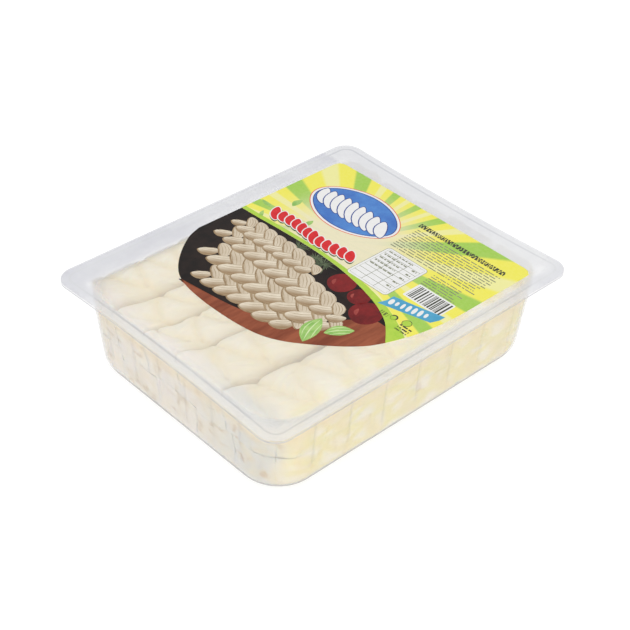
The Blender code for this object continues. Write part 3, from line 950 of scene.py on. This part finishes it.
label = {
    "fieldLow": 49.36, "fieldTop": 49.40, "boardTop": 49.415, "motifTop": 49.50, "groundTop": 49.515,
    "overTop": 49.53, "detailTop": 49.545, "fineTop": 49.56, "step": 0.0022,
}
labelEdge = {
    # the picture's outer arc, from the back edge round to the tip at the front
    "outerArc": ((-18, 64.7), (-27, 61.4), (-39, 52.8), (-48.1, 42.8), (-52.3, 32.8), (-54, 20), (-54.2, 8),
                 (-53.4, -6), (-51.2, -17.8), (-46.8, -27.6), (-39.3, -37.4), (-30, -47.4), (-21, -54.9), (-13, -59)),
    # the picture's inner arc, from the tip back to the back edge
    "innerArc": ((-13, -59), (-6.5, -52.8), (-1.6, -47), (3.2, -37.5), (6.4, -27.5), (8.7, -17.5), (10.6, -6),
                 (11.6, 7), (11.8, 20), (11.2, 36), (10.2, 52), (9.7, 64.7)),
    # the front edge, from the tip to the right-hand corner
    "frontEdge": ((-13, -59), (-4, -62.1), (5, -64.4), (15, -66), (27, -66.9), (45, -67), (72.5, -67), (75.6, -66.2),
                  (77.3, -64.3), (77.8, -61.5)),
    "backEdge": ((77.8, 59.5), (77.5, 61.6), (76.5, 63.4), (74.8, 64.4), (72.8, 64.7)),
    "limeArc": ((-4, -62.1), (-1.5, -58), (2.5, -50), (6.5, -40), (9.6, -29), (12, -16), (13.4, -2), (14.1, 14),
                (13.8, 30), (12.9, 48), (12.2, 64.7)),
}


def smoothThrough(points, steps=5):
    # a soft curve through the points, with its two ends kept
    points = np.array(points, dtype=float)
    padded = np.vstack([2 * points[0] - points[1], points, 2 * points[-1] - points[-2]])
    curve = []
    for a, b, c, d in zip(padded, padded[1:], padded[2:], padded[3:]):
        for i in range(steps):
            t = i / steps
            curve.append(0.5 * (2 * b + (c - a) * t + (2 * a - 5 * b + 4 * c - d) * t ** 2
                                + (3 * b - a - 3 * c + d) * t ** 3))
    curve.append(points[-1])
    return [tuple(point) for point in curve]


def flatShape(name, outline, low, top, tones=None):
    # a filled circle whose rim goes to the outline's places, then pulled up to its thickness
    pickNothing()
    bpy.ops.mesh.primitive_circle_add(vertices=len(outline), radius=mm, fill_type="NGON")
    piece = nameNew(name)
    writePlaces(piece, [(x, y, low) for x, y in outline])
    if tones is not None:
        piece.data.attributes.new("tone", "FLOAT", "POINT").data.foreach_set("value", np.array(tones, np.float32))
    return pullUp(piece, top - low)


def pullUp(piece, rise):
    bpy.ops.object.mode_set(mode="EDIT")
    bpy.ops.mesh.select_all(action="SELECT")
    bpy.ops.mesh.extrude_region_move(TRANSFORM_OT_translate={"value": (0.0, 0.0, rise * mm)})
    bpy.ops.mesh.select_all(action="SELECT")
    bpy.ops.mesh.normals_make_consistent(inside=False)
    bpy.ops.object.mode_set(mode="OBJECT")
    return piece


def lens(middle, length, width, turn, bend=0.0, blunt=0.8, count=10):
    # a leaf or lobe outline; blunt 0.5 is an ellipse, 1 has pointed ends
    turn = math.radians(turn)
    side = []
    for i in range(count + 1):
        share = 0.5 - 0.5 * math.cos(math.pi * i / count)
        side.append(((share - 0.5) * length, bend * (1 - (2 * share - 1) ** 2),
                     width / 2 * max(math.sin(math.pi * share), 0.0) ** blunt))
    rim = [(along, off - half) for along, off, half in side]
    rim += [(along, off + half) for along, off, half in reversed(side[1:-1])]
    return [(middle[0] + x * math.cos(turn) - y * math.sin(turn),
             middle[1] + x * math.sin(turn) + y * math.cos(turn)) for x, y in rim]


def roundedBox(lowX, lowY, highX, highY, radius, steps=4):
    rim = []
    for x, y, start in ((highX, highY, 0.0), (lowX, highY, 0.5), (lowX, lowY, 1.0), (highX, lowY, 1.5)):
        for i in range(steps + 1):
            angle = math.pi * (start + 0.5 * i / steps)
            rim.append((x - math.copysign(radius, x - (lowX + highX) / 2) + radius * math.cos(angle),
                        y - math.copysign(radius, y - (lowY + highY) / 2) + radius * math.sin(angle)))
    return rim


def inkMaterial(name, first, second, scale=500.0, gloss=0.32, stretch=None, shaded=None):
    # printed colour: two close inks broken up by grain, under a thin gloss
    material, tree, shader = setUp(name)
    place = put(tree, "ShaderNodeTexCoord").outputs["Object"]
    if stretch:
        mapping = put(tree, "ShaderNodeMapping")
        mapping.inputs["Scale"].default_value = stretch[:3]
        mapping.inputs["Rotation"].default_value = (0.0, 0.0, math.radians(stretch[3]))
        wire(tree, place, mapping.inputs["Vector"])
        place = mapping.outputs[0]
    grain = placeGroup(tree, inkGroup, place, scale)
    colour = blendColours(tree, grain.outputs["Tone"], first, second)
    if shaded:
        tone = put(tree, "ShaderNodeAttribute", {"attribute_name": "tone"}).outputs["Fac"]
        colour = blendColours(tree, ramp(tree, tone, 0.72, 0.0), colour, shaded)
    wire(tree, colour, shader.inputs["Base Color"])
    wire(tree, ramp(tree, grain.outputs["Tone"], 0.0, 1.0, gloss, gloss + 0.1), shader.inputs["Roughness"])
    roughen(tree, shader, grain.outputs["Height"], 0.08, 0.0002)
    shader.inputs["Specular IOR Level"].default_value = 0.12
    return material


rays = {"middle": (0.028, 0.010), "count": 15.0, "lime": (0.29, 0.50, 0.07), "yellow": (0.72, 0.675, 0.085),
        "straw": (0.71, 0.69, 0.29), "pale": (0.68, 0.63, 0.46), "paleFrom": 0.014, "paleTo": 0.052}


def rayMaterial():
    # rays of lime and yellow round a pale middle
    material, tree, shader = setUp("rayGround")
    place = put(tree, "ShaderNodeTexCoord").outputs["Object"]
    shift = put(tree, "ShaderNodeMapping")
    shift.inputs["Location"].default_value = (-rays["middle"][0], -rays["middle"][1], 0.0)
    wire(tree, place, shift.inputs["Vector"])
    parts = put(tree, "ShaderNodeSeparateXYZ")
    wire(tree, shift.outputs[0], parts.inputs[0])
    x, y = parts.outputs["X"], parts.outputs["Y"]
    angle = calc(tree, "ARCTAN2", y, x)
    far = calc(tree, "SQRT", calc(tree, "ADD", calc(tree, "MULTIPLY", x, x), calc(tree, "MULTIPLY", y, y)))
    sweep = calc(tree, "MULTIPLY", angle, rays["count"] / (2 * math.pi))
    uneven = calc(tree, "MULTIPLY", calc(tree, "SINE", calc(tree, "MULTIPLY", angle, 3.0)), 0.35)
    turn = calc(tree, "FRACT", calc(tree, "ADD", calc(tree, "ADD", sweep, uneven), 20.3))
    stripes = put(tree, "ShaderNodeValToRGB")
    wire(tree, turn, stripes.inputs["Fac"])
    stops = ((0.0, rays["lime"]), (0.26, rays["lime"]), (0.30, rays["yellow"]), (0.50, rays["yellow"]),
             (0.54, rays["straw"]), (0.70, rays["straw"]), (0.74, rays["yellow"]), (0.96, rays["yellow"]),
             (1.0, rays["lime"]))
    while len(stripes.color_ramp.elements) < len(stops):
        stripes.color_ramp.elements.new(0.5)
    for element, (position, colour) in zip(stripes.color_ramp.elements, stops):
        element.position = position
        element.color = (*colour, 1.0)
    grain = placeGroup(tree, inkGroup, place, 600.0)
    pale = ramp(tree, far, rays["paleFrom"], rays["paleTo"], 0.95, 0.0)
    ground = blendColours(tree, pale, stripes.outputs["Color"], rays["pale"])
    ground = blendColours(tree, calc(tree, "MULTIPLY", grain.outputs["Tone"], 0.08), ground, (0.9, 0.88, 0.5))
    wire(tree, ground, shader.inputs["Base Color"])
    wire(tree, ramp(tree, grain.outputs["Tone"], 0.0, 1.0, 0.30, 0.40), shader.inputs["Roughness"])
    roughen(tree, shader, grain.outputs["Height"], 0.08, 0.0002)
    shader.inputs["Specular IOR Level"].default_value = 0.12
    return material


inks = {
    "rays": rayMaterial(),
    "lime": inkMaterial("limeInk", (0.32, 0.52, 0.05), (0.40, 0.56, 0.07), 300.0),
    "dark": inkMaterial("darkInk", (0.004, 0.0025, 0.002), (0.018, 0.010, 0.008), 90.0),
    "board": inkMaterial("boardInk", (0.165, 0.038, 0.017), (0.30, 0.085, 0.040), 110.0, stretch=(0.25, 1.4, 1.0, 35)),
    "cleft": inkMaterial("cleftInk", (0.20, 0.13, 0.065), (0.37, 0.27, 0.16), 160.0),
    "lobe": inkMaterial("lobeInk", (0.57, 0.49, 0.375), (0.68, 0.61, 0.49), 120.0, shaded=(0.27, 0.175, 0.090)),
    "groove": inkMaterial("grooveInk", (0.30, 0.22, 0.135), (0.42, 0.335, 0.225), 260.0),
    "tomato": inkMaterial("tomatoInk", (0.085, 0.006, 0.007), (0.21, 0.014, 0.015), 70.0),
    "tomatoLight": inkMaterial("tomatoLightInk", (0.24, 0.035, 0.03), (0.32, 0.06, 0.05), 300.0),
    "leaf": inkMaterial("leafInk", (0.20, 0.40, 0.09), (0.36, 0.54, 0.17), 240.0),
    "leafLight": inkMaterial("leafLightInk", (0.46, 0.60, 0.28), (0.58, 0.68, 0.38), 260.0),
    "dill": inkMaterial("dillInk", (0.060, 0.085, 0.045), (0.120, 0.150, 0.085), 400.0),
    "badgeRed": inkMaterial("badgeRedInk", (0.60, 0.12, 0.07), (0.68, 0.18, 0.10), 400.0),
    "white": inkMaterial("whiteInk", (0.68, 0.68, 0.68), (0.72, 0.72, 0.71), 400.0),
    "navy": inkMaterial("navyInk", (0.030, 0.055, 0.220), (0.040, 0.075, 0.270), 400.0),
    "blue": inkMaterial("blueInk", (0.045, 0.135, 0.430), (0.085, 0.240, 0.560), 45.0),
    "title": inkMaterial("titleInk", (0.52, 0.012, 0.018), (0.60, 0.028, 0.032), 300.0),
    "shadow": inkMaterial("shadowInk", (0.060, 0.080, 0.030), (0.10, 0.13, 0.05), 400.0),
    "ribbon": inkMaterial("ribbonInk", (0.050, 0.270, 0.450), (0.090, 0.340, 0.520), 120.0),
    "grey": inkMaterial("greyInk", (0.16, 0.17, 0.11), (0.24, 0.25, 0.17), 600.0),
    "black": inkMaterial("blackInk", (0.035, 0.040, 0.030), (0.060, 0.065, 0.045), 600.0),
}


def printed(piece, ink):
    piece.visible_shadow = piece.visible_diffuse = False  # thin print lets light through to the cheese
    return finishPiece(piece, inks[ink], 30)


def keepCells(piece, wanted):
    # delete the grid's cells that the rule doesn't want, by their place
    bpy.ops.object.mode_set(mode="EDIT")
    bpy.ops.mesh.select_mode(type="FACE")
    bpy.ops.mesh.select_all(action="DESELECT")
    mesh = bmesh.from_edit_mesh(piece.data)
    for face in mesh.faces:
        middle = face.calc_center_median() / mm
        face.select_set(not wanted(middle.x, middle.y))
    bmesh.update_edit_mesh(piece.data)
    bpy.ops.mesh.delete(type="FACE")
    bpy.ops.mesh.select_mode(type="VERT")
    bpy.ops.object.mode_set(mode="OBJECT")


def gridSheet(name, box, across, along, low):
    # a flat grid over a box: cells across X and along Y
    pickNothing()
    bpy.ops.mesh.primitive_grid_add(x_subdivisions=across, y_subdivisions=along, size=1.0)
    piece = nameNew(name)
    flat = readPlaces(piece)
    lowX, lowY, highX, highY = box
    x = lowX + (flat[:, 0] + 0.5) * (highX - lowX)
    y = lowY + (flat[:, 1] + 0.5) * (highY - lowY)
    writePlaces(piece, np.column_stack([x, y, np.full(len(x), low)]))
    return piece


def strokeRows(name, box, rows, cell, longest, seed, low, top, fill=1.0, pitch=2):
    # rows of small plain dashes, as small print looks from afar
    lowX, lowY, highX, highY = box
    columns = max(2, round((highY - lowY) / cell))
    bands = pitch * (rows - 1) + 1
    draws = np.random.default_rng(seed)
    marks = np.zeros((bands, columns), dtype=bool)
    for row in range(0, bands, pitch):
        column = 0
        stop = int(columns * (fill + (1 - fill) * draws.random()))
        while column < stop:
            run = int(draws.integers(1, longest + 1))
            marks[row, column:min(column + run, stop)] = True
            column += run + 1
    marks = marks[:, ::-1]  # rows start at the back and read towards the front
    piece = gridSheet(name, box, bands, columns, low)

    def wanted(x, y):
        band = int((x - lowX) / (highX - lowX) * bands)
        column = int((y - lowY) / (highY - lowY) * columns)
        return marks[min(band, bands - 1), min(column, columns - 1)]

    keepCells(piece, wanted)
    return pullUp(piece, top - low)


def makeGround():
    inner = smoothThrough(labelEdge["innerArc"])
    outer = smoothThrough(labelEdge["outerArc"])
    front = smoothThrough(labelEdge["frontEdge"])
    lime = smoothThrough(labelEdge["limeArc"])
    field = outer + inner[1:]
    printed(flatShape("pictureField", field[::-1], label["fieldLow"], label["fieldTop"]), "dark")
    ground = front + list(labelEdge["backEdge"]) + list(reversed(inner[1:]))
    printed(flatShape("rayGround", ground, label["fieldLow"], label["groundTop"]), "rays")
    edge = [point for point in front if point[0] <= labelEdge["limeArc"][0][0]]
    band = edge + lime + list(reversed(inner[1:]))
    printed(flatShape("limeBand", band, label["groundTop"], label["overTop"]), "lime")


picture = {
    "boardEdge": ((-52, 38), (-49.5, 24), (-46.5, 6), (-42, -9), (-35, -21), (-25, -30), (-14, -36), (-5.5, -44),
                  (-4.5, -51)),
    "plaits": (
        # a place on its line, width, turn, and the gaps left to the field's far and near ends
        ((2.0, 38), 12.0, -96, 3.0, 44.0), ((-37.5, 14), 14.5, -84, 4.0, 9.0), ((-10.5, 20), 14.5, -93, 3.5, 16.0),
        ((-24.0, 10), 16.0, -88, 3.5, 6.5),
    ),
    "tomatoes": (((3.6, -14), 15), ((-4.5, -38), 17), ((2.0, -27), 12)),
    "leaves": (((-31, -31), 19, 9, 20), ((-23, -40), 14, 7, -35)),
    "sprigs": ((8, 20), (3, 12), (8, 8), (7, 2)),
}


def fieldReach(spot, turn):
    # how far a straight line runs both ways from a spot before it leaves the picture's field
    rim = np.array(smoothThrough(labelEdge["outerArc"]) + smoothThrough(labelEdge["innerArc"])[1:])
    heading = math.radians(turn)
    along = (rim[:, 0] - spot[0]) * math.cos(heading) + (rim[:, 1] - spot[1]) * math.sin(heading)
    aside = (rim[:, 1] - spot[1]) * math.cos(heading) - (rim[:, 0] - spot[0]) * math.sin(heading)
    nextAlong, nextAside = np.roll(along, -1), np.roll(aside, -1)
    crosses = aside * nextAside <= 0
    where = (along - aside * (nextAlong - along) / (nextAside - aside + 1e-9))[crosses]
    return where[where < 0].max(), where[where > 0].min()


def makePlait(prefix, middle, width, turn, startGap, endGap):
    # plump slanted lobes laid over one another, each with its shaded side, light side and fine grooves
    turnNow = math.radians(turn)
    ahead = (math.cos(turnNow), math.sin(turnNow))
    aside = (-ahead[1], ahead[0])
    reaches = [fieldReach((middle[0] + aside[0] * off * width, middle[1] + aside[1] * off * width), turn)
               for off in (-0.4, 0.0, 0.4)]
    first = max(reach[0] for reach in reaches) + startGap + width * 0.35
    last = min(reach[1] for reach in reaches) - endGap - width * 0.35
    count = round((last - first) / (width * 0.30))
    parts = {"cleft": [], "lobe": [], "groove": []}
    low = label["boardTop"]
    draws = np.random.default_rng(int(width * 10))
    for i in range(count):
        share = (i + 0.5) / count
        side = 1 if i % 2 else -1
        narrow = (0.62 + 0.38 * min(1.0, 5.5 * min(share, 1 - share))) * (0.95 + 0.10 * draws.random())
        along = first + share * (last - first)
        sway = width * 0.10 * math.sin(along / 17 + width)
        off = side * width * 0.21 * narrow + sway
        spot = (middle[0] + ahead[0] * along + aside[0] * off, middle[1] + ahead[1] * along + aside[1] * off)
        slant = turn - side * (36 + 6 * draws.random())
        top = low + 0.02 + 0.5 * 4 * i * label["step"] / 2
        lift = label["step"] / 3
        size = width * narrow
        shade = lens((spot[0] - 0.6, spot[1] + 0.1), size * 1.00, size * 0.58, slant, side * 1.2, 0.54)
        parts["cleft"].append(flatShape(prefix + "cleft", shade, low, top))
        outline = lens(spot, size * 0.98, size * 0.54, slant, side * 1.2, 0.54)
        # light falls from up and left on the print
        lit = math.cos(math.radians(slant)) - math.sin(math.radians(slant))
        tones = [0.5 + 0.5 * lit / 1.42 * (1 if k > len(outline) // 2 else -1) * math.sin(2 * math.pi * k / len(outline))
                 * (1 if k <= len(outline) // 2 else -1) for k in range(len(outline))]
        parts["lobe"].append(flatShape(prefix + "lobe", outline, low, top + lift, tones))
        for j in (-2, -1, 0, 1, 2):
            shift = j * size * 0.095
            slantNow = math.radians(slant + 90)
            groove = (spot[0] + math.cos(slantNow) * shift, spot[1] + math.sin(slantNow) * shift)
            outline = lens(groove, size * (0.86 - 0.12 * abs(j)), 0.26 + 0.20 * draws.random(), slant,
                           side * 1.2 + j * 0.4, 0.7, 6)
            parts["groove"].append(flatShape(prefix + "groove", outline, low, top + 3 * lift))
    for tone, shapes in parts.items():
        printed(joinInto(prefix + tone[0].upper() + tone[1:], shapes), tone)


def makeSprig(name, spot, seed):
    # feathery fronds: slim strokes fanned out from a stem
    draws = np.random.default_rng(seed)
    strokes = []
    for i in range(22):
        turn = -150 + 15 * i + 14 * draws.random()
        reach = 3.0 + 5.0 * draws.random()
        heading = math.radians(turn)
        middle = (spot[0] + math.cos(heading) * reach / 2, spot[1] + math.sin(heading) * reach / 2)
        strokes.append(flatShape(name, lens(middle, reach, 0.42, turn, 0.5, 0.7, 5), label["boardTop"],
                                 label["boardTop"] + 0.004 + 0.0004 * i))
    printed(joinInto(name, strokes), "dill")


def makePicture():
    outer = smoothThrough(labelEdge["outerArc"])
    edge = smoothThrough(picture["boardEdge"])
    rim = [point for point in outer if point[1] < picture["boardEdge"][0][1]]
    tip = [point for point in smoothThrough(labelEdge["innerArc"]) if point[1] < picture["boardEdge"][-1][1]]
    board = rim + tip[1:] + list(reversed(edge))
    printed(flatShape("pictureBoard", board[::-1], label["fieldTop"], label["boardTop"]), "board")
    for i, (spot, seed) in enumerate(zip(picture["sprigs"], (3, 5, 8, 12))):
        makeSprig("pictureSprig" + "ABCD"[i], spot, seed)
    reds, shines = [], []
    for spot, size in picture["tomatoes"]:
        reds.append(flatShape("red", lens(spot, size, size * 0.94, 20, 0, 0.5, 14), label["fieldTop"],
                              label["boardTop"] + 0.006))
        shines.append(flatShape("shine", lens((spot[0] - size * 0.12, spot[1] + size * 0.2), size * 0.3, size * 0.12,
                                              30, 0.5, 0.6), label["fieldTop"], label["boardTop"] + 0.008))
    printed(joinInto("pictureTomatoes", reds), "tomato")
    printed(joinInto("pictureTomatoShine", shines), "tomatoLight")
    for i, row in enumerate(picture["plaits"]):
        makePlait("picturePlait" + "ABCD"[i], *row)
    blades, ribs = [], []
    for spot, length, width, turn in picture["leaves"]:
        blades.append(flatShape("blade", lens(spot, length, width, turn, 1.0, 0.85, 12), label["fieldTop"],
                                label["motifTop"] + 0.002 * len(blades)))
        for off in (-0.24, 0.0, 0.24):
            heading = math.radians(turn + 90)
            middle = (spot[0] + math.cos(heading) * off * width, spot[1] + math.sin(heading) * off * width)
            ribs.append(flatShape("rib", lens(middle, length * (0.9 - abs(off)), 0.5 if off else 0.7, turn,
                                              1.0 + off * 2, 0.7, 6),
                                  label["fieldTop"], label["motifTop"] + 0.006))
    printed(joinInto("pictureLeaves", blades), "leaf")
    printed(joinInto("pictureLeafRibs", ribs), "leafLight")


badge = {"middle": (50.0, 25.2), "half": (18.2, 27.9), "rims": (("badgeRed", 0.0), ("white", 0.55), ("navy", 1.75),
                                                             ("blue", 2.3)), "lobes": 9}


def makeBadge():
    x, y = badge["middle"]
    level = label["groundTop"]
    for i, (ink, inset) in enumerate(badge["rims"]):
        outline = lens((x, y), 2 * (badge["half"][1] - inset), 2 * (badge["half"][0] - inset), 90, 0, 0.5, 32)
        printed(flatShape("badge" + ("Rim", "Band", "Line", "Field")[i], outline, level,
                          label["overTop"] + i * 0.003), ink)
    top = label["overTop"] + 0.012
    ropes, edges = [], []
    for i in range(badge["lobes"]):
        share = (i + 0.5) / badge["lobes"] - 0.5
        spot = (x - 1.0, y - share * 46)
        tall = 19.0 - 17.0 * abs(share) ** 1.6
        edges.append(flatShape("edge", lens(spot, tall + 1.2, 7.4, 34, 1.0, 0.56), level, top + 0.0012 * i))
        ropes.append(flatShape("rope", lens(spot, tall, 6.2, 34, 1.0, 0.56), level, top + 0.0006 + 0.0012 * i))
    printed(joinInto("badgeRopeEdge", edges), "navy")
    printed(joinInto("badgeRope", ropes), "white")


title = {"start": (19.5, 49.5), "end": (20.5, -1.5), "lobes": 12}


def makeTitle():
    # a red plaited border in place of words
    white, red, dark = [], [], []
    level = label["groundTop"]
    for i in range(title["lobes"]):
        share = i / (title["lobes"] - 1)
        spot = (title["start"][0] + (title["end"][0] - title["start"][0]) * share
                + 1.1 * math.sin(share * 7.5), title["start"][1] + (title["end"][1] - title["start"][1]) * share)
        tall = 9.6 if i not in (0, 6) else 11.8
        top = label["overTop"] + 0.002 * i
        dark.append(flatShape("dark", lens((spot[0] - 1.0, spot[1] - 0.8), tall + 0.8, 5.6, 40, 0.5, 0.56), level,
                              label["overTop"] - 0.002))
        white.append(flatShape("white", lens(spot, tall + 1.2, 6.2, 40, 0.5, 0.56), level, top))
        red.append(flatShape("red", lens(spot, tall, 5.0, 40, 0.5, 0.56), level, top + 0.001))
    printed(joinInto("titleShadow", dark), "shadow")
    printed(joinInto("titleEdge", white), "white")
    printed(joinInto("titleRope", red), "title")


def makeSmallLeaves():
    blades = []
    for spot, length, width, turn in (((33.5, 49.5), 7.5, 4.0, 5), ((22.2, 59), 9.5, 2.6, 86), ((26, 32), 5.5, 3.0, 12),
                                      ((14, 53.8), 6, 2.2, 40)):
        blades.append(flatShape("blade", lens(spot, length, width, turn, 0.6, 0.85), label["groundTop"],
                                label["overTop"]))
    printed(joinInto("groundLeaves", blades), "leaf")


table = {"box": (11.8, -34.2, 41.0, -8.2), "radius": 2.0, "rows": 8, "columns": 3, "line": 0.26}


def makeTable():
    lowX, lowY, highX, highY = table["box"]
    level = label["groundTop"]
    printed(flatShape("factsEdge", roundedBox(lowX - 0.25, lowY - 0.25, highX + 0.25, highY + 0.25, 2.2), level,
                      label["overTop"]), "grey")
    printed(flatShape("factsPanel", roundedBox(*table["box"], table["radius"]), level, label["overTop"] + 0.003),
            "white")
    lines = gridSheet("factsLines", (lowX + 1.2, lowY + 1.2, highX - 1.2, highY - 1.2), table["rows"],
                      table["columns"], label["overTop"] + 0.001)
    bpy.ops.object.mode_set(mode="EDIT")
    bpy.ops.mesh.select_mode(type="FACE")
    bpy.ops.mesh.select_all(action="SELECT")
    bpy.ops.mesh.inset(thickness=table["line"] / 2 * mm, use_individual=True)
    bpy.ops.mesh.delete(type="FACE")  # the middles go, the ruled lines stay
    bpy.ops.mesh.select_mode(type="VERT")
    bpy.ops.object.mode_set(mode="OBJECT")
    printed(pullUp(lines, 0.006), "grey")
    # short marks in the upper rows, figures at the right of each row
    level = label["overTop"] + 0.001
    words = strokeRows("words", (lowX + 13.5, lowY + 7.5, highX - 1.9, highY - 2.2), 5, 0.6, 4, 4, level,
                       label["overTop"] + 0.008, 0.55, 4)
    figures = strokeRows("figures", (lowX + 6.0, lowY + 2.2, highX - 5.0, lowY + 5.6), 5, 0.6, 3, 9, level,
                         label["overTop"] + 0.008, 0.9, 4)
    printed(joinInto("factsPrint", [words, figures]), "grey")


def makePrint():
    level, top = label["groundTop"], label["overTop"]
    printed(strokeRows("headingPrint", (64.8, -59.6, 68.0, -4.4), 3, 0.55, 3, 21, level, top, 1.0, 1), "black")
    printed(strokeRows("finePrint", (43.2, -61.5, 62.6, -6.5), 11, 0.7, 9, 31, level, top, 0.93, 3), "grey")
    printed(strokeRows("makerPrint", (31.2, -62.0, 40.8, -38.0), 6, 0.7, 8, 37, level, top, 0.7, 3), "grey")
    draws = np.random.default_rng(17)
    pattern = [bar for pair in zip(draws.integers(1, 4, 17), draws.integers(1, 4, 17))
               for bar in [True] * pair[0] + [False] * pair[1]]
    box = (19.6, -60.6, 29.6, -39.4)
    printed(flatShape("barPanel", roundedBox(18.6, -61.4, 30.6, -38.6, 0.8), level, top), "white")
    bars = gridSheet("barBlock", box, 1, len(pattern), top - 0.001)
    keepCells(bars, lambda x, y: pattern[min(int((y - box[1]) / (box[3] - box[1]) * len(pattern)), len(pattern) - 1)])
    printed(pullUp(bars, 0.006), "black")
    ribbon = ((5.3, -35.8), (8.0, -46), (10.6, -54.5), (12.6, -62.0), (16.8, -63.6), (20.7, -63.8), (18.2, -54),
              (16.0, -45), (14.4, -37.3), (9.8, -37.2))
    printed(flatShape("netRibbon", ribbon, level, top + 0.002), "ribbon")
    dashes = []
    for i, (long, tall) in enumerate(((3.2, 3.8), (2.2, 2.8), (2.0, 3.8), (2.6, 4.4), (2.6, 4.4), (2.6, 4.4),
                                      (2.2, 3.0))):
        spot = (10.6 + 0.72 * i, -39.6 - 2.95 * i)
        dashes.append(flatShape("dash", lens(spot, tall * 1.15, long * 0.78, 12, 0, 0.35), top - 0.001, top + 0.005))
    printed(joinInto("ribbonDashes", dashes), "white")
    marks = (((3.0, -48.6), 4.2, 2.6), ((4.2, -55.6), 5.0, 4.4))
    rings = [flatShape("mark", lens(spot, size, size, 0, 0, 0.5, 12), level, top) for spot, size, _ in marks]
    printed(joinInto("smallMarks", rings), "black")
    middles = [flatShape("hole", lens(spot, hole, hole, 0, 0, 0.5, 12), level, top + 0.002) for spot, _, hole in marks]
    printed(joinInto("smallMarkMiddles", middles), "lime")
    printed(strokeRows("cornerPrint", (-2.6, -61.0, 2.0, -54.0), 3, 0.6, 5, 41, level, top), "black")
    printed(strokeRows("sidePrint", (0.6, -46.0, 3.2, -41.0), 1, 0.6, 2, 43, level, top), "black")


makeGround()
makePicture()
makeBadge()
makeTitle()
makeSmallLeaves()
makeTable()
makePrint()
print("label ready")

# ---------- closing
print("cheese pack scene built")
